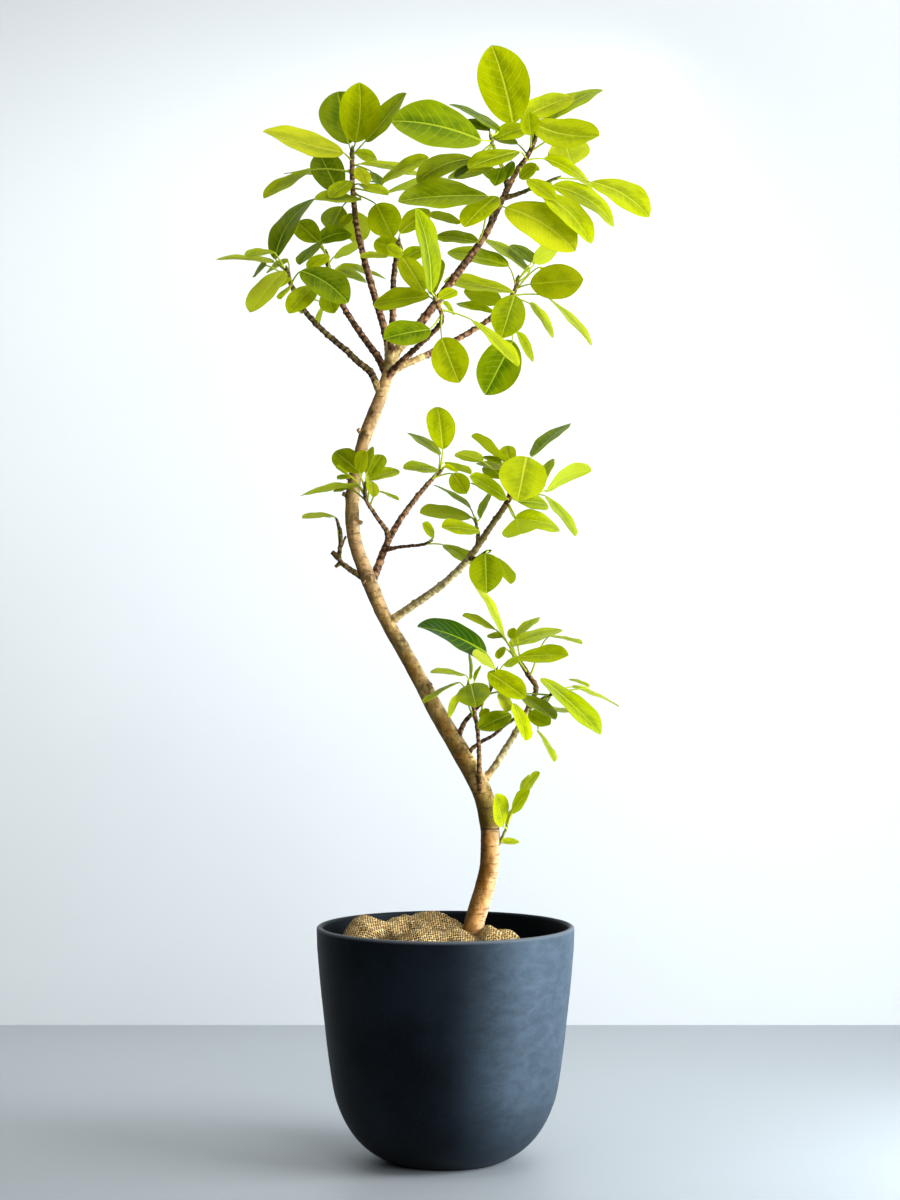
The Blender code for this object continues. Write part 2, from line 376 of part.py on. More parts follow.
class Limb:
    """A round stem along a smooth route. Its rings hold x, y, z and the radius, in metres."""

    def __init__(self, points, step):
        self.fine, self.runs = smooth_route(points, step * CM)
        self.length = self.runs[-1]
        self.step = step * CM

    def at(self, distance):
        ring = along(self.fine, self.runs, distance)
        return Vector(ring[:3]), ring[3]

    def piece(self, start, stop, resolution, grow=0.0):
        """The stretch from start to stop. Short end spans keep its ends square to the route."""
        count = max(3, int(round((stop - start) / self.step)) + 1)
        spots = [start + (stop - start) * k / (count - 1) for k in range(count)]
        spots = [start, start + END_SPAN] + spots[1:-1] + [stop - END_SPAN, stop]
        rings = [self.at(spot)[0] for spot in spots]
        radii = [self.at(spot)[1] + grow for spot in spots]
        return tube(rings, radii, resolution)

    def nearest(self, across, up):
        """The centre line's point that shows nearest to (across, up) from the front."""
        best = min(self.fine, key=lambda ring: (seen(ring) - Vector((across, up))).length)
        return Vector(best[:3])


def seen(point):
    """Where a point shows from the front: (across, up) in cm."""
    point = Vector(point[:3])
    ratio = -EYE.y / (point.y - EYE.y)
    flat = EYE + (point - EYE) * ratio
    return Vector((flat.x / CM, flat.z / CM))


def limb_from(route, parent, foot_radius, end_radius, end_depth, step):
    """A side limb from its parent's centre line; its depth changes evenly along the route."""
    first = parent.nearest(*route[0])
    start_depth = seen_depth(first)
    flat = [Vector(p) for p in route]
    runs = [0.0]
    for a, b in zip(flat, flat[1:]):
        runs.append(runs[-1] + (b - a).length)
    points = []
    for spot, run in zip(flat, runs):
        t = run / runs[-1]
        depth = start_depth + (end_depth - start_depth) * t ** 1.15
        radius = foot_radius + (end_radius - foot_radius) * t
        centre = place(spot.x, spot.y, depth)
        points.append(Vector((*centre, radius * CM)))
    points[0] = Vector((*first, foot_radius * CM))
    return Limb(points, step)


def blade_swell(t):
    """Share of the full width that a blade has at t, from 0 at its base to 1 at its tip."""
    return math.sin(math.pi * (0.05 + 0.93 * t) ** 1.20) ** 0.80


def blade_turns(base, tip, width_seen, length, away, shares):
    """A blade's run, width, side to the right of its way and, at each share of its length, its
    upper side and cross direction, turned so that the given width shows."""
    run = (tip - base).normalized()
    to_eye = (EYE - (base + tip) * 0.5).normalized()
    side = run.cross(to_eye).normalized()
    face = side.cross(run).normalized()
    if (face.dot(to_eye) < 0) != (width_seen < 0):
        face = -face
    width = max(abs(width_seen), length * WIDTH_TO_LENGTH) * CM
    turns = []
    for t in shares:
        here = abs(width_seen) * CM / width * (1.0 + away * (1.0 - 2.0 * t))
        turn = math.copysign(math.acos(min(1.0, here)), side.z)
        upper = face * math.cos(turn) + side * math.sin(turn)
        turns.append((upper, run.cross(upper).normalized()))
    return run, width, side, turns


def leaf_shape(foot, base, tip, width_seen, length, bow, away, phase):
    """One closed leaf, its stalk from the twig's middle and its blade in one, as rows of six.

    Its two sides are split the same way into triangles, so they never pass through each other.
    """
    blade_rows = next(shares for longest, shares in BLADE_ROWS if length <= longest)
    run, width, side, turns = blade_turns(base, tip, width_seen, length, away, [0.0] + blade_rows)
    size = (tip - base).length
    upper, across = turns[0]
    ahead = (base - foot).normalized()
    bend = (ahead + run).normalized()
    bend_level = (across - bend * across.dot(bend)).normalized()
    bend_rise = bend_level.cross(bend)
    level = (bend_level - ahead * bend_level.dot(ahead)).normalized()
    rise = level.cross(ahead)
    rows = [[(foot + level * (s * STALK_RADIUS), rise * (STALK_RADIUS * (1.0 if s == 0 else 0.5)))
             for s in (-1, 0, 1)],
            [(base + bend_level * (s * STALK_RADIUS),
              bend_rise * (STALK_RADIUS * (1.0 if s == 0 else 0.5))) for s in (-1, 0, 1)]]
    for t, (upper, across) in zip(blade_rows[:-1], turns[1:]):
        reach = width * 0.5 * blade_swell(t)
        centre = base + run * (size * t) + (upper * (BLADE_ARCH * size) + side * bow) * (4 * t * (1 - t))
        row = []
        for s in (-1, 0, 1):
            ripple = EDGE_WAVE * width * math.sin(phase + 7.0 * t + 1.3 * s)
            lift = (BLADE_FOLD * reach + ripple * blade_swell(t)) * abs(s)
            row.append((centre + across * (s * reach) + upper * lift, upper * (BLADE_THICK * 0.5)))
        rows.append(row)
    points = [spot + rise for row in rows for spot, rise in row]
    count = len(points)
    points += [spot - rise for row in rows for spot, rise in row]
    over, under = len(points), len(points) + 1
    points += [tip + upper * (BLADE_THICK * 0.5), tip - upper * (BLADE_THICK * 0.5)]
    faces, of_stalk = [], []
    for k in range(len(rows) - 1):
        ring = [k * 3, k * 3 + 1, k * 3 + 2, k * 3 + 2 + count, k * 3 + 1 + count, k * 3 + count]
        for i in range(6):
            a, b = ring[i], ring[(i + 1) % 6]
            if i in (3, 4):
                faces += [(a, b, a + 3), (b, b + 3, a + 3)]
            else:
                faces += [(a, b, b + 3), (a, b + 3, a + 3)]
            of_stalk += [k == 0] * 2
    last = len(rows) * 3 - 3
    ends = [(count + 1, count + 2, 2), (count + 1, 2, 1), (count, count + 1, 1), (count, 1, 0)]
    low = last + count
    tips = [(last, last + 1, over), (last + 1, last + 2, over), (last + 2, low + 2, under),
            (last + 2, under, over), (low + 2, low + 1, under), (low + 1, low, under),
            (low, last, over), (low, over, under)]
    faces += ends + tips
    of_stalk += [True] * 4 + [False] * 8
    return points, faces, of_stalk


def thickened(points, faces, by):
    """The same closed shape with its faces moved out by a distance, to keep air between leaves."""
    mesh = bmesh.new()
    verts = [mesh.verts.new(p) for p in points]
    for face in faces:
        mesh.faces.new([verts[i] for i in face])
    mesh.normal_update()
    moved = [v.co + v.normal * by for v in mesh.verts]
    mesh.free()
    return moved


def leaf(spec, foot, depth_at_foot, taken, own, phase):
    """One leaf whose place keeps clear of what is taken, by a change of depth along the view."""
    base_a, base_u, tip_a, tip_u, width, way, length = spec[:7]
    bow, away = (list(spec[7:]) + [0.0, 0.0])[:2]
    seen_run = math.hypot(tip_a - base_a, tip_u - base_u)
    depth_run = math.sqrt(max(length * length - seen_run * seen_run, 0.0)) * way
    flat_foot = seen(foot)
    stalk_seen = math.hypot(base_a - flat_foot.x, base_u - flat_foot.y)
    stalk_run = math.sqrt(max(STALK_LONGEST ** 2 * 0.5 - stalk_seen * stalk_seen, 0.0)) * way * 0.6
    best = None
    for trial in range(CLEAR_TRIES):
        shift = CLEAR_STEP * ((trial + 1) // 2) * (1 if trial % 2 else -1)
        base = place(base_a, base_u, depth_at_foot + stalk_run + shift * 0.6)
        tip = place(tip_a, tip_u, depth_at_foot + stalk_run + depth_run + shift * 1.1)
        points, faces, of_stalk = leaf_shape(foot, base, tip, width, length, bow * CM, away, phase)
        wide_points = thickened(points, faces, CLEAR_AIR)
        blade_faces = [f for f, is_stalk in zip(faces, of_stalk) if not is_stalk]
        stalk_faces = [f for f, is_stalk in zip(faces, of_stalk) if is_stalk]
        wide = BVHTree.FromPolygons(wide_points, blade_faces)
        stem = BVHTree.FromPolygons(wide_points, stalk_faces)
        hits = 0
        for owner, other in taken:
            hits += bool(wide.overlap(other))
            if owner != own:
                hits += bool(stem.overlap(other))
        if best is None or hits < best[0]:
            best = (hits, points, faces, blade_faces, stalk_faces)
        if hits == 0:
            break
    return best


def union(name, chunks):
    """One body out of closed chunks (points, faces) that reach into each other."""
    holder = bpy.data.collections.new(name + "_pieces")
    bpy.context.scene.collection.children.link(holder)
    first = bpy.data.objects.new(name, mesh_from(name, *chunks[0]))
    bpy.context.scene.collection.objects.link(first)
    extras = []
    for k, (points, faces) in enumerate(chunks[1:]):
        piece = bpy.data.objects.new(f"{name}_{k}", mesh_from(f"{name}_{k}", points, faces))
        holder.objects.link(piece)
        extras.append(piece)
    if extras:
        join = first.modifiers.new("join", "BOOLEAN")
        join.operation = "UNION"
        join.operand_type = "COLLECTION"
        join.collection = holder
        for solver in ("MANIFOLD", "EXACT"):
            join.solver = solver
            graph = bpy.context.evaluated_depsgraph_get()
            joined = bpy.data.meshes.new_from_object(first.evaluated_get(graph))
            if is_closed(joined):
                break
        first.modifiers.clear()
        first.data = joined
    for piece in extras:
        bpy.data.objects.remove(piece, do_unlink=True)
    bpy.data.collections.remove(holder)
    bpy.context.scene.collection.objects.unlink(first)
    keep_largest(first.data)
    return first


def is_closed(mesh):
    shell = bmesh.new()
    shell.from_mesh(mesh)
    closed = all(len(edge.link_faces) == 2 for edge in shell.edges)
    shell.free()
    return closed


def keep_largest(mesh):
    """Drops loose scraps and sealed hollows, so that the largest shell stays."""
    shell = bmesh.new()
    shell.from_mesh(mesh)
    bmesh.ops.triangulate(shell, faces=shell.faces[:])
    groups, seen_faces = [], set()
    for face in shell.faces:
        if face in seen_faces:
            continue
        stack, group = [face], []
        seen_faces.add(face)
        while stack:
            current = stack.pop()
            group.append(current)
            for edge in current.edges:
                for near in edge.link_faces:
                    if near not in seen_faces:
                        seen_faces.add(near)
                        stack.append(near)
        groups.append(group)
    groups.sort(key=len, reverse=True)
    for group in groups[1:]:
        bmesh.ops.delete(shell, geom=group, context="FACES")
    loose = [v for v in shell.verts if not v.link_faces]
    bmesh.ops.delete(shell, geom=loose, context="VERTS")
    shell.to_mesh(mesh)
    shell.free()


def pot_profile():
    """From the axis on the inner floor, up the inside, over the lip and down to the axis below."""
    inside = []
    for radius, z in POT_OUTSIDE[3:]:
        if z > POT_FLOOR + 0.005:
            inside.append((radius - POT_WALL, z))
    inside = list(reversed(inside))
    foot = inside[0][0]
    floor = [(0.0, POT_FLOOR), (foot - 0.030, POT_FLOOR), (foot - 0.012, POT_FLOOR + 0.004)]
    lip = [(POT_OUTSIDE[3][0] - POT_WALL, 0.3440), (POT_OUTSIDE[3][0] - POT_WALL + 0.002, 0.3487)]
    return floor + inside + lip + POT_OUTSIDE + [(0.0, 0.0)]


def turned(name, profile, steps, material):
    """A turned body: its profile runs from the axis at its top, down its outside, to the axis."""
    mesh = bpy.data.meshes.new(name)
    mesh.from_pydata([(r, 0.0, z) for r, z in profile],
                     [(k, k + 1) for k in range(len(profile) - 1)], [])
    body = bpy.data.objects.new(name, mesh)
    screw = body.modifiers.new("turned", "SCREW")
    screw.axis = "Z"
    screw.angle = 2 * math.pi
    screw.steps = steps
    screw.render_steps = steps
    screw.use_merge_vertices = True
    screw.merge_threshold = 0.0001
    in_place(body, material)
    return body


def inner_radius(z):
    """The pot's inside radius at a height."""
    for (r1, z1), (r0, z0) in zip(POT_OUTSIDE, POT_OUTSIDE[1:]):
        if z0 <= z <= z1:
            t = (z - z0) / max(z1 - z0, 1e-9)
            return r0 + (r1 - r0) * t - POT_WALL
    return POT_OUTSIDE[3][0] - POT_WALL


def soil_top(radius):
    """Height of the soil, which rises to a low mound in the middle of the pot."""
    share = min(1.0, radius / SOIL_MOUND_RADIUS)
    return SOIL_RIM_Z + SOIL_MOUND * (1.0 - share * share) ** 2


def build_soil(trunk):
    edge = inner_radius(SOIL_RIM_Z) - SOIL_AIR
    profile = [(edge * share, soil_top(edge * share)) for share in SOIL_SHARES]
    for radius, z in POT_OUTSIDE:
        if POT_FLOOR + 0.016 < z < SOIL_RIM_Z - 0.006:
            profile.append((radius - POT_WALL - SOIL_AIR, z))
    low = POT_FLOOR + 0.013
    profile += [(inner_radius(low) - SOIL_AIR, low), (0.0, low)]
    soil = turned("soil", profile, SOIL_STEPS, "soil")
    hole_points, hole_faces = trunk.piece(0.0, 0.17, TRUNK_ROUND, grow=0.0005)
    lowest = min(p.z for p in hole_points)
    hole_points = [p - Vector((0, 0, GAP * 2)) if p.z < lowest + 0.001 else p for p in hole_points]
    cut(soil, hole_points, hole_faces)


def cut(target, points, faces):
    """Cuts a closed shape out of the target."""
    tool = bpy.data.objects.new(target.name + "_tool", mesh_from("tool", points, faces))
    tool.hide_render = True
    tool.display_type = "WIRE"
    cutters.objects.link(tool)
    opening = target.modifiers.new("opening", "BOOLEAN")
    opening.operation = "DIFFERENCE"
    opening.solver = "MANIFOLD"
    opening.object = tool


def burlap_height(x, y, share):
    """Height of the burlap over the soil; share runs from 0 in its middle to 1 at its edge."""
    lift = 0.0
    for across, depth, size, high in BURLAP_LUMPS:
        dx, dy = (x / CM - across) / size, (y / CM - depth) / size
        lift += high * CM * math.exp(-(dx * dx + dy * dy) * 0.7)
    crease = 0.0025 * math.sin(95 * x + 40 * y) + 0.002 * math.sin(70 * y - 120 * x + 1.0)
    lift = (lift + 0.004 + crease) * (1.0 - share ** 3)
    return soil_top(math.hypot(x, y)) + BURLAP_AIR + max(lift, 0.0)


def build_burlap(trunk):
    """A crumpled square of cloth, pushed together to the size it covers."""
    cloth = bmesh.new()
    bmesh.ops.create_grid(cloth, x_segments=BURLAP_STEPS, y_segments=BURLAP_STEPS, size=1.0)
    for vert in cloth.verts:
        u, v = vert.co.x, vert.co.y
        rounder = math.sqrt(1.0 - 0.42 * v * v), math.sqrt(1.0 - 0.42 * u * u)
        share = max(abs(u), abs(v))
        x = BURLAP_CENTRE[0] + BURLAP_HALF[0] * u * rounder[0] + 0.004 * math.sin(5 * v + 1.0) * share
        y = BURLAP_CENTRE[1] + BURLAP_HALF[1] * v * rounder[1] + 0.004 * math.sin(6 * u) * share
        vert.co = (x, y, burlap_height(x, y, share))
    mesh = bpy.data.meshes.new("burlap")
    cloth.to_mesh(mesh)
    cloth.free()
    burlap = bpy.data.objects.new("burlap", mesh)
    body = burlap.modifiers.new("body", "SOLIDIFY")
    body.thickness = BURLAP_THICK
    body.offset = 1.0
    in_place(burlap, "burlap")
    slit_points, slit_faces = trunk.piece(0.06, 0.24, TRUNK_ROUND, grow=0.0012)
    cut(burlap, slit_points, slit_faces)


def main():
    turned("pot", pot_profile(), POT_STEPS, "pot")
    trunk = Limb([Vector((*place(a, u, d), r * CM)) for a, u, d, r in TRUNK], TRUNK_STEP)
    build_soil(trunk)
    build_burlap(trunk)

    limbs = {"trunk": trunk}
    wood = {"trunk": [trunk.piece(0.0, trunk.length, TRUNK_ROUND)]}
    for across, up, cut_across, cut_up, cut_depth, size in STUBS:
        start = trunk.nearest(across, up)
        end = place(cut_across, cut_up, cut_depth)
        end = start + (end - start).normalized() * 0.017
        wood["trunk"].append(tube([start, end], [size * CM * 1.2, size * CM * 0.9], TWIG_ROUND))
    starts = {}
    for name, parent, route, foot_r, end_r, depth, stub, leafy in BRANCHES:
        limb = limb_from(route, limbs[parent], foot_r, end_r, depth, BRANCH_STEP)
        limbs[name] = limb
        wood[parent].append(limb.piece(0.0, stub * CM, BRANCH_ROUND))
        leafy_from = limb.length - leafy * CM
        wood[name] = [limb.piece(stub * CM + GAP, leafy_from, BRANCH_ROUND)]
        starts[name] = leafy_from + GAP
    twigs = {}
    for shoot in SHOOTS:
        name, parent, route, leaves = shoot[:4]
        if route is None:
            limb, start = limbs[parent], starts[parent]
        else:
            foot_r, end_r, depth, stub = shoot[4:]
            limb = limb_from(route, limbs[parent], foot_r, end_r, depth, TWIG_STEP)
            wood[parent].append(limb.piece(0.0, stub * CM, TWIG_ROUND))
            start = stub * CM + GAP
        twigs[name] = (limb, start)
    for name, chunks in wood.items():
        body = union(name, chunks)
        in_place(body, "trunk" if name == "trunk" else "branch")

    taken = []
    for name, chunks in wood.items():
        for points, faces in chunks:
            taken.append((name, BVHTree.FromPolygons(points, faces)))
    shoot_chunks = {}
    for shoot in SHOOTS:
        name = shoot[0]
        limb, start = twigs[name]
        twig = limb.piece(start, limb.length, TWIG_ROUND)
        shoot_chunks[name] = [twig]
        taken.append((name, BVHTree.FromPolygons(*twig)))
    for number, shoot in enumerate(SHOOTS):
        name, leaves = shoot[0], shoot[3]
        limb, start = twigs[name]
        first = start + (LEAFY_FOOT if shoot[2] is None else (limb.length - start) * 0.55)
        for k, spec in enumerate(leaves):
            share = k / max(1, len(leaves) - 1)
            foot, _ = limb.at(first + (limb.length - LEAFY_END - first) * share)
            hits, points, faces, blade_faces, stalk_faces = leaf(
                spec, foot, seen_depth(foot), taken, name, 1.7 * k + 0.9 * number)
            if hits:
                print("not clear", name, k, spec[:4], hits)
            shoot_chunks[name].append((points, faces))
            taken.append((name, BVHTree.FromPolygons(points, blade_faces)))
            taken.append((name, BVHTree.FromPolygons(points, stalk_faces)))
    for name, chunks in shoot_chunks.items():
        in_place(union(name, chunks), "shoot")


main()
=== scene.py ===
"""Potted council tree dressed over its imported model: fine leaves, bark, burlap, soil and pot."""
import math
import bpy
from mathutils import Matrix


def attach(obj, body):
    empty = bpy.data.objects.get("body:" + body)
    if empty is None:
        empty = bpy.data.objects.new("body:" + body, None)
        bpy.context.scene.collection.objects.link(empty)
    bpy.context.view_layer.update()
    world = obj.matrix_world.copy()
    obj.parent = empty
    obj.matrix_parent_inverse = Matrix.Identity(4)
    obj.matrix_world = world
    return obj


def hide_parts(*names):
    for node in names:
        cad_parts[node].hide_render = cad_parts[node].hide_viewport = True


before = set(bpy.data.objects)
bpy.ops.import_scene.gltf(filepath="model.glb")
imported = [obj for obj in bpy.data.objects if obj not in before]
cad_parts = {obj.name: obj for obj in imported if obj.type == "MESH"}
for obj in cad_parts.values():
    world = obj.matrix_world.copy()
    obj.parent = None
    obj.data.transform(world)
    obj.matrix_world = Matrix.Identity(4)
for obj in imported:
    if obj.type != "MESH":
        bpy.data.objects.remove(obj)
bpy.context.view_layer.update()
from copy import copy

import bpy
import numpy as np
from mathutils import Vector, noise
from mathutils.kdtree import KDTree

# Lengths are in metres unless a comment says cm
CM = 0.01
EYE = Vector((0.00675, -3.975, 0.838))
# Air between a stem's solid and its parent's collar
GAP = 0.0003

# Camera: its height and distance come from the pot's rim, its lens from the height of the view
LENS_MM = 79.5
SENSOR_MM = 36.0

# Room
WALL_Y = 1.25
WALL_HALF = 5
WALL_HIGH = 5
FLOOR_HALF = 7
FLOOR_COLOR = (0.345, 0.375, 0.400)
WALL_COLOR = (0.556, 0.580, 0.598)
# How far from the pot's axis floor and wall begin to fade and are gone, in metres
FADE_FROM_TO = (1.6, 2.5)
SKY_COLOR = (0.86, 0.93, 1.0)
SKY_POWER = 0.07
SURROUND = (0.80, 0.84, 0.87)

# Pot
POT_OUTSIDE = [
    (0.1885, 0.3500), (0.1918, 0.3485), (0.1932, 0.3440), (0.1925, 0.3200), (0.1880, 0.2660),
    (0.1825, 0.2150), (0.1765, 0.1620), (0.1680, 0.1060), (0.1605, 0.0800), (0.1500, 0.0570),
    (0.1360, 0.0360), (0.1190, 0.0190), (0.1010, 0.0075), (0.0850, 0.0000),
]
POT_WALL = 0.0095
POT_FLOOR = 0.010
POT_ROUND = 144
LIP_FOOT = 0.3452
LIP_RISE = 0.0048
LIP_STEPS = 12
# Radius of the smallest ring of a turned piece, at its axis
AXIS_RADIUS = 0.0004

# Trunk: across, up, depth, radius
TRUNK = [
    (3.4, 19.0, 0.0, 1.70), (3.4, 25.0, 0.0, 1.68), (3.6, 29.5, 0.0, 1.66), (4.25, 35.0, 0.0, 1.55),
    (4.95, 37.6, 0.0, 1.50), (5.7, 40.0, -0.2, 1.48), (6.35, 42.6, -0.4, 1.45),
    (6.65, 45.0, -0.6, 1.43), (6.6, 50.0, -0.8, 1.42), (5.5, 55.0, -0.6, 1.48),
    (2.85, 60.0, -0.2, 1.42), (-0.1, 65.0, 0.3, 1.33), (-1.85, 68.0, 0.6, 1.25),
    (-2.85, 70.0, 0.8, 1.20), (-5.6, 75.0, 1.2, 1.13), (-9.0, 81.0, 1.6, 1.06),
    (-10.8, 85.0, 1.8, 1.12), (-12.45, 89.3, 1.8, 1.10), (-13.25, 91.4, 1.7, 1.03),
    (-13.75, 93.5, 1.6, 1.06), (-14.0, 96.7, 1.4, 1.06), (-13.75, 101.0, 1.1, 1.02),
    (-12.4, 107.2, 0.6, 0.96), (-11.2, 110.5, 0.3, 1.03), (-9.65, 114.5, 0.1, 0.95),
    (-8.5, 118.2, 0.0, 0.88),
]
# Pruned stubs: across, up at the trunk, across, up and depth at the cut, radius
STUBS = [
    (-13.6, 101.9, -15.3, 102.5, 0.4, 0.42), (-12.3, 108.2, -13.3, 109.6, -0.3, 0.34),
    (-13.9, 99.0, -15.2, 99.7, 1.6, 0.36), (-13.9, 95.6, -12.3, 95.3, 0.6, 0.36),
    (-6.2, 77.2, -7.6, 78.6, 0.8, 0.40), (-2.4, 70.4, -2.0, 71.9, -0.6, 0.42),
    (4.1, 58.0, 2.6, 58.8, -1.2, 0.42), (-11.1, 86.4, -12.6, 87.0, 0.8, 0.50),
]

# Branches: name, parent, route seen from the front, radius at foot and end, depth at the end,
# stub on the parent, length of the leafy end (all in cm)
BRANCHES = [
    ("far_left_branch", "trunk", [(-10.0, 115.0), (-11.2, 117.9), (-13.1, 119.5), (-14.6, 121.0),
     (-17.0, 123.0), (-19.4, 125.2), (-21.1, 127.2), (-22.4, 129.5), (-23.3, 131.5),
     (-23.8, 133.5)], 0.54, 0.30, -11.0, 3.6, 5.2),
    ("left_branch", "trunk", [(-8.8, 117.7), (-10.0, 120.0), (-11.8, 122.5), (-13.9, 125.5),
     (-15.7, 128.5), (-16.8, 131.0), (-17.3, 132.5), (-17.8, 135.0), (-17.9, 136.0)],
     0.56, 0.30, 9.0, 3.4, 5.0),
    ("tall_left_branch", "trunk", [(-8.6, 118.0), (-8.6, 121.8), (-9.1, 124.2), (-10.2, 128.0),
     (-11.4, 132.0), (-12.45, 136.0), (-13.35, 140.0), (-13.7, 143.0), (-14.0, 147.0),
     (-14.0, 151.5)], 0.62, 0.32, 13.0, 3.6, 10.0),
    ("middle_branch", "trunk", [(-8.6, 118.1), (-8.05, 123.0), (-7.95, 126.0), (-7.8, 129.0),
     (-7.8, 132.0), (-7.35, 135.2), (-7.0, 137.6)], 0.56, 0.34, -7.0, 4.4, 3.4),
    ("leader", "trunk", [(-8.5, 118.1), (-7.3, 121.1), (-5.8, 122.8), (-3.45, 125.7), (-1.5, 128.3),
     (1.2, 132.0), (4.2, 136.0), (6.2, 139.0), (8.1, 143.0), (9.6, 146.0), (10.9, 148.5),
     (12.0, 149.9), (13.1, 152.0), (13.7, 154.0)], 0.74, 0.32, 1.0, 4.2, 6.4),
    ("front_branch", "trunk", [(-9.0, 116.8), (-7.5, 118.7), (-5.05, 121.0), (-2.6, 123.3),
     (-0.7, 125.3), (-0.6, 126.8), (-1.2, 128.2), (-1.7, 129.6)], 0.48, 0.27, -12.0, 3.6, 4.6),
    ("right_branch", "trunk", [(-8.9, 117.3), (-7.2, 118.6), (-5.0, 119.6), (-2.5, 120.7),
     (1.0, 122.5), (5.0, 124.8), (6.9, 126.2), (8.7, 128.0), (10.3, 130.0), (10.9, 132.2)],
     0.55, 0.30, 13.0, 4.6, 7.0),
    ("crossing_branch", "trunk", [(-10.9, 85.6), (-10.75, 87.2), (-10.15, 88.7), (-9.4, 90.8),
     (-8.3, 93.3), (-7.2, 95.2), (-6.0, 97.0), (-4.1, 99.5), (-2.1, 101.8), (-0.5, 103.4)],
     0.64, 0.27, 7.0, 2.4, 3.0),
    ("pale_limb", "trunk", [(-8.9, 80.6), (-7.0, 81.5), (-5.0, 82.9), (-2.0, 85.0), (0.0, 86.5),
     (2.5, 88.9), (4.2, 91.0), (5.9, 93.5), (7.4, 95.7), (9.0, 98.0), (9.8, 99.8), (10.4, 101.0)],
     0.62, 0.38, -9.0, 2.6, 3.6),
    ("low_right_branch", "trunk", [(5.4, 56.2), (6.6, 57.8), (7.75, 59.4), (9.0, 61.5),
     (10.2, 63.4), (11.2, 65.2), (12.5, 67.8), (13.4, 69.6), (13.6, 70.8), (12.6, 72.3),
     (11.3, 74.4), (10.0, 75.9)], 0.54, 0.30, 6.0, 2.3, 5.4),
]

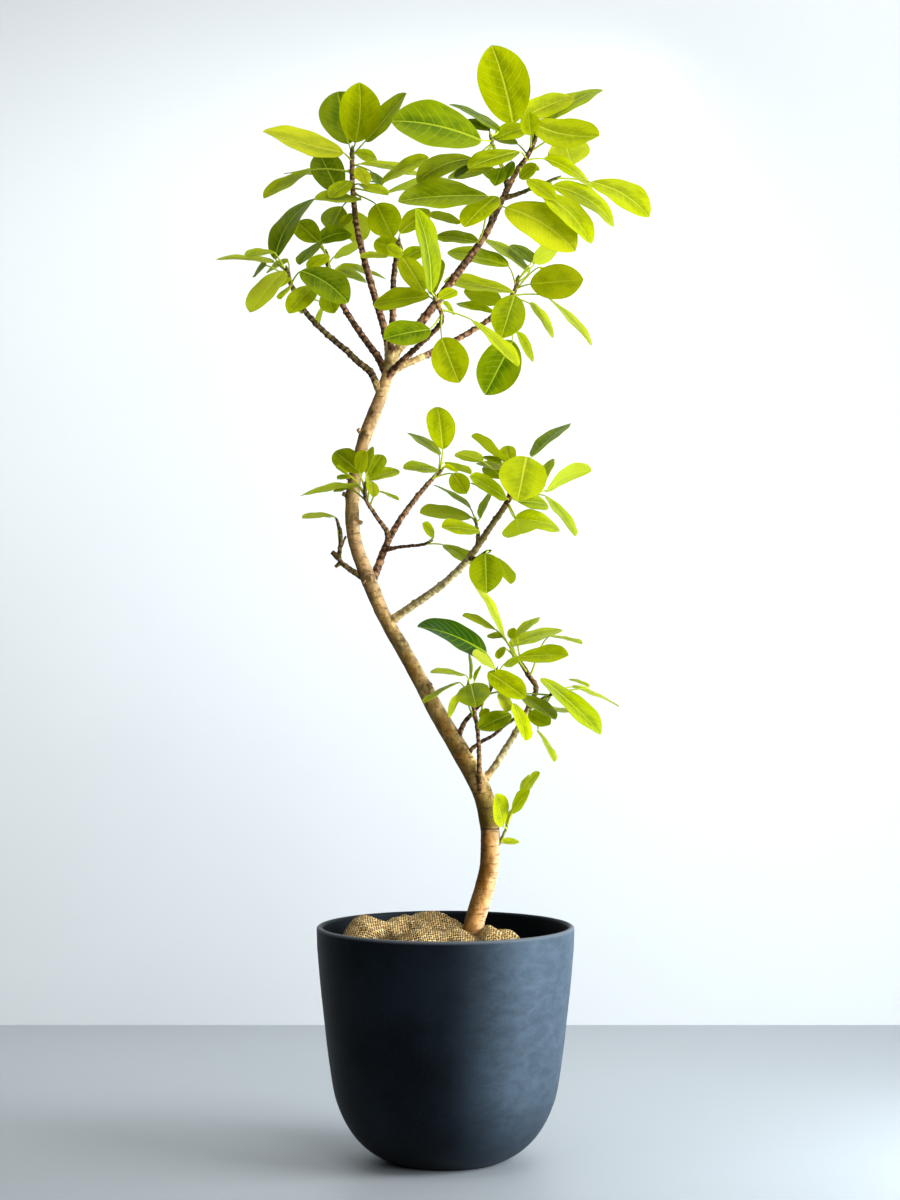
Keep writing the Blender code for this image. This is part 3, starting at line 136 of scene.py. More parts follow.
# Leafy shoots: name, parent, route, radius at foot and end, depth at the end, stub, leaves.
# A leaf: base and tip of the blade, width seen (negative where its underside shows), way of the
# tip (1 back, -1 forward) and length of the blade, in cm. Then, for a blade that isn't straight,
# how far its middle bows to the right of its way in cm, and the share by which it turns its face
# away towards its tip. Leaves go from the foot to the end.
# A route of None grows on from the end of the parent.
SHOOTS = [
    ("far_left_shoot", "far_left_branch", None, [
        (-18.3, 128.3, -19.0, 125.3, -0.9, 1, 5.0), (-18.0, 130.0, -16.7, 126.9, 3.2, -1, 5.0),
        (-19.6, 131.0, -23.5, 126.9, 3.2, -1, 6.8), (-22.0, 130.0, -22.0, 126.9, 1.8, 1, 5.0),
        (-23.4, 132.2, -25.4, 130.6, 1.2, -1, 3.8), (-23.5, 130.8, -24.7, 129.0, 1.0, -1, 4.0),
        (-21.7, 133.2, -14.6, 128.5, 4.5, -1, 9.4, -0.5),
        (-24.2, 133.2, -29.4, 127.1, 3.2, -1, 9.0),
        (-23.6, 134.6, -26.8, 133.2, 1.0, 1, 5.0), (-26.9, 134.0, -28.8, 132.6, 1.0, 1, 4.5),
        (-26.0, 136.2, -29.8, 135.3, 1.3, -1, 6.0), (-25.7, 134.4, -34.4, 135.1, 0.9, 1, 9.2),
        (-25.6, 134.9, -19.7, 144.2, 3.0, 1, 11.6, -0.9, 0.15)]),
    ("left_shoot", "left_branch", None, [
        (-15.8, 134.0, -8.8, 132.0, 0.9, 1, 8.0), (-16.5, 133.2, -11.9, 131.8, 1.6, 1, 6.5),
        (-17.6, 135.6, -20.6, 133.4, 2.0, -1, 5.0), (-16.7, 135.3, -12.9, 136.9, -1.6, 1, 5.5),
        (-18.7, 137.5, -21.9, 134.2, 1.6, -1, 6.5), (-19.0, 137.5, -22.3, 140.6, 3.6, 1, 6.5),
        (-19.2, 137.4, -14.2, 138.9, 2.8, 1, 6.6, -0.4)]),
    ("tall_left_shoot", "tall_left_branch", None, [
        (-13.9, 141.8, -15.6, 139.9, 1.4, -1, 3.6), (-13.2, 142.0, -13.3, 137.3, -4.2, 1, 7.4),
        (-15.5, 142.8, -17.4, 139.2, 4.5, 1, 7.5), (-10.4, 143.2, -7.9, 138.3, 5.2, -1, 8.2),
        (-12.6, 143.9, -19.6, 144.0, 1.6, -1, 8.2), (-9.4, 144.6, 1.8, 145.2, -1.6, 1, 12.0, -0.9),
        (-12.9, 146.2, -8.6, 144.6, 1.4, -1, 5.4), (-14.2, 146.6, -17.4, 144.2, 2.4, -1, 5.2),
        (-16.0, 144.8, -19.0, 151.0, 5.0, 1, 9.0), (-9.8, 146.4, -2.6, 150.3, 2.0, -1, 9.0),
        (-13.2, 148.7, -11.8, 146.1, 2.2, -1, 4.4), (-20.4, 148.3, -27.3, 144.2, 1.8, -1, 8.8),
        (-16.3, 147.6, -24.2, 147.9, 0.9, 1, 8.6), (-12.8, 149.2, -3.1, 147.5, 1.3, 1, 10.4),
        (-11.0, 148.0, -9.8, 145.9, 1.5, -1, 3.8),
        (-15.3, 150.9, -27.3, 154.3, 3.4, -1, 13.2, -0.5, 0.35),
        (-13.5, 150.8, -10.2, 149.9, 2.0, 1, 4.4),
        (-12.0, 152.6, -6.0, 159.9, 2.7, -1, 10.4, 0.3, 0.2),
        (-14.5, 152.2, -16.2, 160.2, 7.4, 1, 9.6),
        (-13.5, 152.4, -12.9, 161.4, 6.4, -1, 10.0, 0.4)]),
    ("middle_shoot", "middle_branch", None, [
        (-6.5, 135.3, -3.3, 130.1, 3.6, -1, 7.2), (-8.7, 135.4, -12.8, 135.3, 1.0, -1, 4.8),
        (-6.6, 134.7, -3.2, 136.6, 2.2, 1, 4.6), (-6.5, 135.5, -8.9, 136.8, 1.8, -1, 3.6),
        (-6.4, 136.0, -10.7, 137.7, 3.1, 1, 5.8), (-6.8, 138.8, -2.5, 142.5, 3.0, 1, 6.4)]),
    ("leader_shoot", "leader", None, [
        (11.2, 147.0, 13.6, 149.2, 2.0, -1, 3.8), (12.0, 148.9, 14.1, 148.3, 1.0, -1, 2.6),
        (14.7, 150.0, 22.3, 145.3, 1.8, 1, 9.6, -0.5), (11.0, 151.1, 3.4, 148.7, 2.5, -1, 8.6),
        (10.8, 152.2, 6.8, 153.4, 1.4, 1, 4.6), (17.5, 153.7, 19.1, 148.9, 6.6, 1, 9.4),
        (12.8, 153.5, 12.5, 157.0, 3.0, -1, 5.4), (12.6, 154.9, 7.5, 153.1, 2.6, -1, 6.4),
        (13.1, 155.4, 23.0, 153.6, 4.4, -1, 11.6, 1.0),
        (14.9, 155.3, 23.4, 160.6, 2.6, 1, 11.0, -0.3),
        (11.2, 156.0, 19.1, 159.4, 3.5, 1, 9.4), (10.2, 155.2, 6.95, 167.0, 7.7, -1, 12.9, 0.3)]),
    ("leader_left_shoot", "leader", [(9.3, 145.6), (8.9, 147.6), (8.2, 149.6), (7.3, 151.6),
     (6.7, 153.6)], [
        (8.7, 146.5, 5.8, 148.5, 2.0, 1, 4.4), (8.3, 148.6, 7.4, 146.0, 2.4, -1, 4.4),
        (10.0, 149.6, 8.9, 146.8, 1.8, -1, 4.0), (7.0, 148.4, 0.3, 147.4, 2.0, 1, 7.6),
        (3.9, 148.9, 1.2, 147.5, 1.4, 1, 4.0), (4.1, 150.0, -4.3, 146.6, 3.2, -1, 9.6, 0.6),
        (5.4, 152.7, -8.1, 155.8, 6.3, -1, 14.4, 0.5), (6.6, 154.2, 1.7, 155.8, 1.6, 1, 6.2),
        (8.0, 154.0, 0.8, 158.4, 1.3, 1, 9.6)],
     0.34, 0.22, -4.5, 1.8),
    ("leader_right_shoot", "leader", [(9.0, 144.2), (10.6, 144.6), (12.6, 145.4), (14.6, 146.2),
     (16.9, 147.2)], [
        (12.2, 146.9, 16.5, 143.9, 2.4, -1, 5.6), (14.3, 144.9, 22.0, 137.4, 3.4, -1, 11.2, -0.6),
        (16.0, 145.9, 25.5, 140.0, 3.0, 1, 11.8, -0.9),
        (21.8, 146.5, 30.6, 141.4, 3.9, -1, 10.8, -0.7)],
     0.32, 0.20, -3.0, 1.6),
    ("leader_low_shoot", "leader", [(6.5, 140.0), (6.9, 141.4), (6.4, 142.6), (6.3, 144.0)], [
        (4.9, 137.5, -1.5, 138.5, 2.0, 1, 7.0), (2.3, 140.5, -2.4, 141.5, -1.5, 1, 5.6),
        (9.0, 142.7, 19.5, 136.3, 6.1, -1, 13.2, -0.7), (7.7, 144.4, 2.8, 139.9, 3.5, -1, 8.8),
        (4.9, 144.1, -3.7, 146.5, 2.5, 1, 9.4), (6.4, 144.4, -7.1, 143.8, 3.7, -1, 14.0)],
     0.30, 0.20, -2.6, 1.4),
    ("front_shoot", "front_branch", None, [
        (-2.3, 124.4, -9.2, 123.1, 3.8, -1, 8.4), (-0.6, 123.1, 2.0, 116.5, 5.4, -1, 8.8),
        (4.0, 125.8, 11.0, 119.0, 1.7, -1, 10.4), (-0.4, 128.4, 1.4, 126.8, 0.9, 1, 3.6),
        (-2.4, 129.3, -10.9, 128.3, 3.0, 1, 9.4), (-1.0, 129.0, 1.7, 130.3, 1.8, 1, 4.0),
        (-1.9, 129.5, -0.9, 135.0, 2.4, 1, 6.2),
        (-2.2, 130.0, -4.3, 142.6, 3.1, -1, 13.2, 0.4, 0.2)]),
    ("right_shoot", "right_branch", None, [
        (7.3, 126.8, 1.6, 128.4, 1.3, 1, 6.6), (8.4, 128.9, 2.8, 130.1, -3.4, 1, 6.8),
        (10.1, 122.7, 6.0, 114.7, 6.5, -1, 11.0), (10.6, 124.0, 13.3, 119.6, 1.5, 1, 6.0),
        (10.4, 129.5, 8.4, 123.2, 5.2, -1, 9.0), (12.6, 128.3, 16.4, 123.3, 1.5, 1, 7.6),
        (15.1, 129.4, 22.0, 122.1, 1.0, -1, 10.8), (10.2, 130.0, -0.2, 131.7, 2.2, -1, 10.9),
        (14.2, 133.8, 16.1, 132.2, 0.9, -1, 3.4), (12.7, 131.2, 20.6, 131.9, 5.4, -1, 9.2),
        (9.5, 133.9, 0.3, 136.2, 2.7, 1, 10.0), (12.6, 132.9, 5.8, 138.2, 1.6, 1, 9.4),
        (13.1, 134.6, 16.9, 136.8, -2.8, 1, 5.4), (13.4, 134.3, 9.8, 137.2, 2.0, 1, 5.6)]),
    ("crossing_shoot", "crossing_branch", None, [
        (-1.1, 103.4, -6.25, 103.6, 1.6, -1, 6.6), (1.1, 102.8, 3.1, 99.8, 3.0, -1, 5.4),
        (-0.3, 103.8, 1.9, 103.2, 0.8, 1, 3.0), (-0.2, 104.5, 3.8, 102.8, -1.1, 1, 5.2),
        (-0.9, 105.5, -5.5, 109.0, 1.4, 1, 7.2), (-0.4, 106.4, -1.1, 112.9, 4.4, 1, 8.2)]),
    ("inner_shoot", "crossing_branch", [(-8.6, 92.6), (-8.9, 94.3), (-10.0, 95.8), (-11.0, 97.3),
     (-12.0, 99.0), (-12.0, 101.2)], [
        (-10.2, 100.2, -7.0, 98.8, 0.5, -1, 4.0), (-12.8, 100.9, -21.8, 99.6, -0.9, -1, 9.6),
        (-11.2, 101.7, -10.8, 99.3, 1.8, -1, 3.6), (-14.7, 100.6, -16.8, 100.1, 0.7, -1, 3.0),
        (-11.6, 101.8, -7.0, 103.4, 1.9, 1, 6.0), (-14.2, 102.4, -16.2, 102.0, 0.8, -1, 3.0),
        (-14.5, 102.6, -16.4, 103.7, 0.6, -1, 3.0), (-12.9, 103.0, -16.6, 106.2, 3.6, 1, 6.6),
        (-11.6, 102.3, -9.5, 105.7, 2.8, 1, 5.4), (-11.8, 103.0, -11.2, 106.8, 1.6, 1, 5.2),
        (-13.1, 103.0, -12.0, 106.1, 2.2, -1, 4.8)], 0.36, 0.20, -4.0, 1.6),
    ("spur_shoot", "crossing_branch", [(-9.3, 91.4), (-7.2, 91.7), (-5.5, 91.9), (-3.5, 92.1),
     (-2.2, 92.6)], [
        (-0.3, 92.1, 4.3, 89.2, 1.9, -1, 6.6), (-1.7, 93.4, -3.4, 95.3, 1.5, -1, 3.6)],
     0.26, 0.17, -2.0, 1.6),
    ("outer_left_shoot", "trunk", [(-12.0, 87.0), (-13.2, 87.7), (-14.6, 88.6), (-15.9, 89.8),
     (-15.8, 91.8), (-15.7, 93.8), (-16.3, 95.8)], [
        (-16.7, 96.4, -21.5, 96.2, 0.9, -1, 5.6)],
     0.44, 0.20, -1.5, 2.3),
    ("limb_shoot", "pale_limb", None, [
        (10.4, 95.9, 17.2, 94.5, 2.6, 1, 8.2, -0.3), (10.6, 96.0, 11.3, 93.5, -5.2, -1, 7.8),
        (8.9, 99.1, 3.8, 101.5, 1.1, 1, 6.8), (9.2, 99.0, 3.7, 102.4, 2.3, -1, 7.4),
        (15.0, 99.5, 19.5, 93.5, 1.4, -1, 8.8), (10.8, 98.6, 15.4, 98.2, 2.5, 1, 6.6),
        (15.0, 100.1, 21.8, 103.3, -2.2, 1, 9.0, -0.5), (14.6, 101.2, 15.8, 105.0, 1.8, 1, 5.4),
        (12.6, 102.2, 4.6, 104.5, 1.3, 1, 9.0),
        (9.2, 102.0, 5.8, 104.0, 2.5, 1, 5.4), (8.3, 104.3, 5.6, 105.4, 1.0, 1, 3.8),
        (9.0, 104.8, 4.0, 108.4, -1.5, 1, 7.4), (5.6, 104.6, 1.5, 105.9, -1.8, -1, 5.4),
        (9.9, 104.0, 8.9, 107.0, 2.6, 1, 4.6),
        (13.0, 105.3, 18.4, 110.4, 1.8, 1, 9.2), (12.2, 105.3, 10.9, 98.9, 7.0, -1, 12.0)]),
    ("limb_side_shoot", "pale_limb", [(4.7, 91.8), (4.9, 93.4), (4.7, 94.7), (4.6, 95.8)], [
        (5.0, 94.2, -0.5, 94.8, 2.1, -1, 7.0), (3.8, 96.3, -3.8, 97.0, -2.2, 1, 8.6),
        (3.7, 97.6, -1.8, 101.2, 0.7, 1, 7.4), (5.3, 96.1, 6.6, 100.1, 1.2, 1, 5.2)],
     0.26, 0.17, -5.0, 1.7),
    ("limb_low_shoot", "pale_limb", [(3.4, 90.2), (4.6, 90.0), (5.9, 90.9), (6.7, 91.2)], [
        (7.7, 90.2, 9.8, 86.3, -2.0, 1, 6.0), (6.0, 90.8, 6.2, 85.0, 5.0, -1, 8.8)],
     0.28, 0.18, -8.0, 1.2),
    ("low_right_shoot", "low_right_branch", None, [
        (15.5, 78.4, 20.5, 77.3, 0.6, -1, 6.2), (10.8, 75.2, 18.4, 75.6, 2.6, -1, 8.6),
        (8.6, 76.8, 8.0, 75.0, 1.4, -1, 3.2), (9.5, 76.8, 17.5, 79.5, 2.0, 1, 9.4),
        (8.5, 78.2, 6.3, 78.6, 1.1, 1, 3.2), (10.8, 78.3, 13.9, 81.3, 1.4, 1, 5.6),
        (7.5, 79.4, 2.6, 81.5, -1.1, 1, 6.4), (9.8, 78.0, 10.3, 79.6, 1.6, -1, 2.6),
        (8.9, 78.1, 4.4, 86.3, 1.2, -1, 9.8)]),
    ("low_right_side_shoot", "low_right_branch", [(12.6, 68.0), (14.2, 68.8), (15.4, 69.4),
     (16.6, 70.0)], [
        (13.8, 64.3, 16.4, 59.6, 0.9, -1, 6.4), (12.5, 67.0, 15.7, 65.2, 2.6, -1, 4.8),
        (11.3, 69.6, 16.5, 66.0, 2.0, -1, 7.8), (15.0, 67.4, 21.0, 66.5, 0.7, 1, 7.2),
        (14.3, 72.1, 23.4, 63.8, 2.9, -1, 13.0), (21.6, 70.8, 18.5, 72.0, 0.6, 1, 4.0),
        (19.0, 70.8, 26.1, 67.9, 0.6, 1, 8.4)], 0.26, 0.17, -1.5, 1.3),
    ("upright_shoot", "trunk", [(5.7, 51.8), (5.35, 53.8), (5.1, 55.8), (5.05, 58.5),
     (5.0, 62.0), (4.7, 65.0), (4.3, 67.3), (3.7, 69.6), (3.4, 71.2)], [
        (2.4, 69.6, 0.3, 66.4, -1.3, -1, 5.0), (2.2, 71.5, -3.4, 68.4, 0.7, -1, 7.4),
        (3.8, 71.2, 4.6, 67.9, 5.0, -1, 7.2), (3.2, 72.5, -2.2, 73.0, 0.8, -1, 6.4),
        (4.4, 71.7, 5.2, 74.0, 0.6, 1, 3.0), (3.6, 71.9, 3.6, 75.9, 0.6, 1, 4.8)],
     0.40, 0.20, -7.5, 6.2),
    ("knee_shoot", "trunk", [(0.8, 62.6), (1.9, 63.2), (2.7, 65.2), (4.2, 67.0), (5.0, 68.0),
     (6.3, 69.6), (7.0, 70.9), (7.5, 72.4), (7.7, 73.4)], [
        (5.2, 66.0, 6.5, 67.4, 1.6, -1, 2.6), (8.6, 70.0, 9.0, 67.1, 2.0, -1, 4.8),
        (6.4, 73.0, 12.0, 69.2, 3.6, -1, 7.4), (8.9, 74.3, 10.9, 74.5, 1.5, -1, 3.6),
        (7.3, 73.9, 4.1, 75.7, 1.6, -1, 5.6), (6.2, 75.8, -4.1, 80.0, 3.5, -1, 12.4, 0.35, 0.75)],
     0.36, 0.20, -3.0, 1.8),
    ("low_twig_shoot", "trunk", [(2.9, 60.1), (4.1, 61.6), (5.5, 62.6), (7.3, 63.6), (9.0, 65.1),
     (11.0, 66.3)], [
        (9.8, 66.7, 5.0, 64.5, 3.0, -1, 6.4), (10.4, 68.3, 12.1, 62.8, 2.2, -1, 7.4)],
     0.28, 0.19, -4.5, 2.1),
    ("foot_shoot", "trunk", [(6.5, 45.9), (7.8, 47.0), (8.4, 48.0), (9.0, 49.3), (9.5, 50.8)], [
        (8.4, 47.4, 11.0, 47.7, 1.1, 1, 3.4), (8.6, 49.9, 7.6, 54.6, 2.5, -1, 6.4),
        (9.3, 50.0, 9.7, 52.4, 0.9, 1, 3.2), (9.9, 52.0, 12.6, 55.2, 1.9, -1, 5.4),
        (11.6, 54.8, 14.1, 57.9, 1.4, -1, 5.0), (11.7, 55.1, 12.2, 57.5, 1.1, 1, 4.0)],
     0.20, 0.15, -1.8, 2.5),
]

# Leaf, by the model's own rules; STALK_LONGEST and CLEAR_STEP are in cm
WIDTH_TO_LENGTH = 0.56
BLADE_ARCH = 0.020
BLADE_FOLD = 0.10
EDGE_WAVE = 0.026
STALK_RADIUS = 0.0011
STALK_LONGEST = 4.6
LEAFY_FOOT = 0.006
LEAFY_END = 0.004
CLEAR_STEP = 0.7
CLEAR_TRIES = 14

# Steps along the stems, in cm
TRUNK_STEP = 3.2
BRANCH_STEP = 2.2
TWIG_STEP = 1.6

# How each leaf looks, in the order of its shoot's list: l lime, y yellow, g green, d dark green,
# v dark green middle with lime margins, k wholly dark green, p pale new leaf
LOOKS = {
    "far_left_shoot": "pllllydplggld", "left_shoot": "lllpdgd",
    "tall_left_shoot": "lpglgplgdlyllldyggdl", "middle_shoot": "llglll",
    "leader_shoot": "lllgdylglgll", "leader_left_shoot": "gddldgdvd", "leader_right_shoot": "llll",
    "leader_low_shoot": "gpylgv", "front_shoot": "dllgllvv", "right_shoot": "lpdlglllyyggpd",
    "crossing_shoot": "glllgl", "inner_shoot": "lpllllgggly", "spur_shoot": "gl",
    "outer_left_shoot": "p", "limb_shoot": "lplgggplplgppldl",
    "limb_side_shoot": "lpgg", "limb_low_shoot": "pg", "low_right_shoot": "llllllpll",
    "low_right_side_shoot": "llglgll", "upright_shoot": "ylvlll", "knee_shoot": "lyllpk",
    "low_twig_shoot": "vl", "foot_shoot": "llylll",
}
# Tone from lime to yellow, share of dark green, share of pale new growth
LOOK_VALUES = {"l": (0.35, 0.0, 0.0), "y": (0.85, 0.0, 0.15), "g": (0.20, 0.26, 0.0),
               "v": (0.20, 0.42, 0.0), "d": (0.10, 0.66, 0.0), "k": (0.0, 1.06, 0.0),
               "p": (0.75, 0.0, 0.8)}

# Leaf detail: points across and along a blade, half its thickness, the midrib's groove and ridge
BLADE_COLUMNS = 14
BLADE_LINES = 34
BLADE_HALF = 0.00025
RIB_GROOVE = 0.0004
RIB_RIDGE = 0.0008
# Side veins: pairs, how they climb with the reach and its square, and how far apart the halves are
VEIN_PAIRS = 9.0
VEIN_CLIMB = (0.55, 1.3)
VEIN_SHIFT = 0.35
QUILT = 0.00030
STALK_LINES = 10
STALK_ROUND = 8

# Bark detail: points round the trunk and step along it
TRUNK_AROUND = 44
TRUNK_FINE_STEP = 0.0020
# Skins of branches and twigs: points round, step along, gaps between leaf scars at foot and end,
# heights of rings and scars, and width of the dark shade at a ring
BRANCH_SKIN = {"around": 20, "step": 0.0013, "gaps": (0.0105, 0.0080), "ring_high": 0.00085,
               "scar_high": 0.0017, "ring_wide": 0.0025}
TWIG_SKIN = {"around": 14, "step": 0.0011, "gaps": (0.009, 0.006), "ring_high": 0.00045,
             "scar_high": 0.0010, "ring_wide": 0.0017}
# Flare of a stem at its foot, length of a bud, and how far it stands past the model's twig
BRANCH_FLARE = 0.0005
TWIG_FLARE = 0.0010
BUD_LENGTH = 0.010
BUD_EXTRA = 0.006
# A direction that no stem runs along, to start its cross directions from
ASIDE = (0.31, 0.92, 0.24)
# How far from the trunk's middle a branch keeps the trunk's tan bark, in cm, and a twig's value
TAN_FEET = {"leader": 6.2, "tall_left_branch": 4.4, "middle_branch": 3.2, "right_branch": 7.0,
            "far_left_branch": 2.4, "left_branch": 0.6, "front_branch": 0.6, "pale_limb": 3.0,
            "low_right_branch": 3.0, "crossing_branch": 1.0}
NO_TAN = -9.0
# Barks of branches and twigs: dark, light and young colour, where it turns young, and how strongly
# its ring marks and its painted shade on the side away from the window show
BARKS = {
    "branch_bark": ((0.100, 0.038, 0.014), (0.600, 0.310, 0.160), (0.170, 0.105, 0.020)),
    "olive_bark": ((0.034, 0.020, 0.003), (0.200, 0.135, 0.030), (0.120, 0.085, 0.016)),
    "pale_limb_bark": ((0.420, 0.320, 0.100), (0.860, 0.700, 0.350), (0.190, 0.140, 0.030),
                       (0.38, 0.54), 0.45),
    "low_right_bark": ((0.360, 0.250, 0.085), (0.820, 0.670, 0.350), (0.180, 0.110, 0.030),
                       (0.50, 0.62), 0.55),
    "woody_twig_bark": ((0.070, 0.030, 0.008), (0.420, 0.230, 0.080), (0.260, 0.270, 0.030),
                        (0.70, 1.0)),
    "twig_bark": ((0.100, 0.066, 0.024), (0.240, 0.180, 0.050), (0.340, 0.420, 0.040),
                  (0.25, 0.62)),
}
BARK_OF = {"pale_limb": "pale_limb_bark", "low_right_branch": "low_right_bark",
           "far_left_branch": "olive_bark", "outer_left_shoot": "olive_bark",
           **dict.fromkeys(("leader_left_shoot", "leader_right_shoot", "leader_low_shoot",
                            "limb_side_shoot", "limb_low_shoot", "foot_shoot"), "twig_bark")}
# How young a branch is at its end, where a twig's bud is 1
BRANCH_AGE = 0.7
# Pruned stubs: length, points round, and rings as shares of the length and of the radius
STUB_LENGTH = 0.017
STUB_ROUND = 16
STUB_RINGS = [
    (0.0, 1.5), (0.3, 1.4), (0.5, 1.22), (0.65, 1.08), (0.8, 1.0), (0.9, 1.0), (0.97, 0.97),
    (1.0, 0.86), (0.99, 0.7), (0.965, 0.4), (0.95, 0.08),
]
# Knots on the trunk: across, up and depth where they sit, size and height in cm
KNOTS = [
    (-11.2, 112.0, -0.9, 0.55, 0.20), (-12.3, 108.7, -0.5, 0.60, 0.22),
    (-14.9, 99.4, 0.6, 0.55, 0.20),
    (-13.4, 95.9, 0.4, 0.65, 0.22), (-11.7, 87.0, 0.9, 0.80, 0.24), (-6.3, 77.8, 0.3, 0.85, 0.20),
    (-2.4, 70.8, -0.3, 0.85, 0.20), (4.2, 58.2, -1.9, 0.80, 0.16), (2.5, 61.5, -1.5, 0.75, 0.14),
    (0.6, 64.2, 1.4, 0.80, 0.18), (-8.4, 79.4, 2.5, 0.70, 0.18), (7.3, 52.0, 0.4, 0.70, 0.14),
    (-13.2, 103.5, 2.0, 0.60, 0.20), (5.2, 41.0, 1.1, 0.70, 0.12),
]

# Burlap: distance between yarns, middle and half size as it lies, lines of points each way, and
# flat size
CLOTH_PITCH = 0.0041
CLOTH_CENTRE = (-0.022, -0.004)
CLOTH_HALF = (0.154, 0.125)
CLOTH_LINES = 150
CLOTH_FLAT = (0.37, 0.31)
# How far the cloth lies above the soil, how much its corners are drawn in, how often its heights
# are evened, how wide (in rounds of evening) and deep a hollow is, and the air round the trunk
CLOTH_LIFT = 0.004
CORNERS_IN = 0.42
CLOTH_EVENED = 3
HOLLOW_ROUNDS = 60
HOLLOW_DEPTH = 0.0030
SLIT_AIR = 0.0005
# Puffs of the cloth: across and depth of the middle, half length, half width, turn in degrees
# and height of the top, in cm
PUFFS = [
    (-2.0, -0.8, 13.5, 10.5, 0.0, 33.9),
    (-13.6, -2.2, 6.4, 5.6, 12.0, 37.5), (-7.4, 0.2, 3.8, 6.0, -14.0, 35.9),
    (-2.2, 2.4, 6.6, 5.0, 4.0, 36.4), (-3.8, -5.6, 5.2, 3.2, 12.0, 34.6),
    (1.2, -3.4, 4.4, 3.0, -24.0, 34.8), (-9.4, 6.0, 4.8, 3.6, 30.0, 34.8),
    (6.9, -3.2, 2.6, 3.6, 14.0, 35.4), (10.4, -2.4, 3.8, 3.8, -10.0, 35.7),
    (4.8, 4.6, 3.8, 3.0, 35.0, 34.2), (-5.0, 9.0, 5.0, 2.8, -6.0, 33.6),
    (-9.8, -7.6, 3.8, 2.6, -30.0, 33.4), (3.6, -8.2, 4.4, 2.4, 20.0, 32.6),
    (8.0, 6.8, 3.0, 2.4, 40.0, 32.6), (-14.5, 3.8, 2.8, 3.2, 10.0, 34.6),
]

# Soil: height at its edge, its mound and how far out that reaches, edge of its top, rings on the
# top, points round, and its side from top to foot
SOIL_HIGH = 0.285
SOIL_MOUND = 0.028
MOUND_REACH = 0.160
SOIL_EDGE = 0.1782
SOIL_RINGS = 70
SOIL_ROUND = 180
SOIL_SIDE = [
    (0.1765, 0.262), (0.1730, 0.215), (0.1670, 0.162), (0.1580, 0.106), (0.1390, 0.055),
    (0.1200, 0.030), (0.1120, 0.0240), (0.0006, 0.0240),
]

# Dead nubs on a shoot's twig: foot and end seen, radius
NUBS = {"outer_left_shoot": [(-15.9, 90.0, -17.0, 90.9, 0.36), (-15.6, 89.6, -16.5, 88.9, 0.26),
                             (-15.5, 91.4, -14.6, 93.4, 0.17)]}

# Lights: name, place, what they face, size, power and colour
LIGHTS = [
    ("window", (2.5, -1.20, 1.45), (0.0, 0.0, 0.95), (1.4, 2.5), 121.0, (0.95, 0.98, 1.0)),
    ("ceiling", (0.5, -0.5, 3.3), (0.0, 0.1, 0.9), (2.6, 2.0), 50.0, (1.0, 0.99, 0.97)),
    ("wall_wash", (-0.7, 0.45, 1.30), (-0.95, 1.25, 0.78), (2.6, 1.4), 14.0, (0.97, 0.99, 1.0)),
    ("front_fill", (1.5, -3.3, 1.7), (0.0, 0.0, 1.1), (1.5, 1.5), 44.0, (1.0, 0.98, 0.95)),
    ("low_side", (1.36, -0.14, 0.47), (0.10, 0.0, 0.28), (0.40, 0.50), 20.0, (0.85, 0.94, 1.0)),
]


def place(across, up, depth=0.0):
    """The point seen at (across, up), depth cm behind the plane of the pot's axis."""
    flat = Vector((across * CM, 0.0, up * CM))
    return EYE + (flat - EYE) * (1.0 + depth * CM / -EYE.y)


def seen_depth(point):
    """How far behind the plane of the pot's axis a point lies, in cm along the view."""
    return point.y / CM


def smooth_route(points, step):
    """A Catmull-Rom curve through points (vectors of any size), sampled about every step."""
    ends = [points[0] * 2 - points[1]] + points + [points[-1] * 2 - points[-2]]
    fine = []
    for a, b, c, d in zip(ends, ends[1:], ends[2:], ends[3:]):
        count = max(2, int((Vector(c[:3]) - Vector(b[:3])).length / (0.25 * step)))
        for k in range(count):
            t = k / count
            fine.append(0.5 * ((2 * b) + (c - a) * t + (2 * a - 5 * b + 4 * c - d) * t * t
                               + (3 * b - a - 3 * c + d) * t ** 3))
    fine.append(points[-1])
    runs = [0.0]
    for a, b in zip(fine, fine[1:]):
        runs.append(runs[-1] + (Vector(b[:3]) - Vector(a[:3])).length)
    return fine, runs


def along(fine, runs, distance):
    """The point of a curve at a run along it."""
    distance = min(max(distance, 0.0), runs[-1])
    for k in range(1, len(runs)):
        if runs[k] >= distance:
            span = runs[k] - runs[k - 1]
            t = 0.0 if span < 1e-9 else (distance - runs[k - 1]) / span
            return fine[k - 1].lerp(fine[k], t)
    return fine[-1].copy()


class Limb:
    """A round stem along a smooth route. Its rings hold x, y, z and the radius, in metres."""

    def __init__(self, points, step):
        self.fine, self.runs = smooth_route(points, step * CM)
        self.length = self.runs[-1]

    def at(self, distance):
        ring = along(self.fine, self.runs, distance)
        return Vector(ring[:3]), ring[3]

    def nearest(self, across, up):
        """The centre line's point that shows nearest to (across, up) from the front."""
        best = min(self.fine, key=lambda ring: (seen(ring) - Vector((across, up))).length)
        return Vector(best[:3])


def seen(point):
    """Where a point shows from the front: (across, up) in cm."""
    point = Vector(point[:3])
    ratio = -EYE.y / (point.y - EYE.y)
    flat = EYE + (point - EYE) * ratio
    return Vector((flat.x / CM, flat.z / CM))


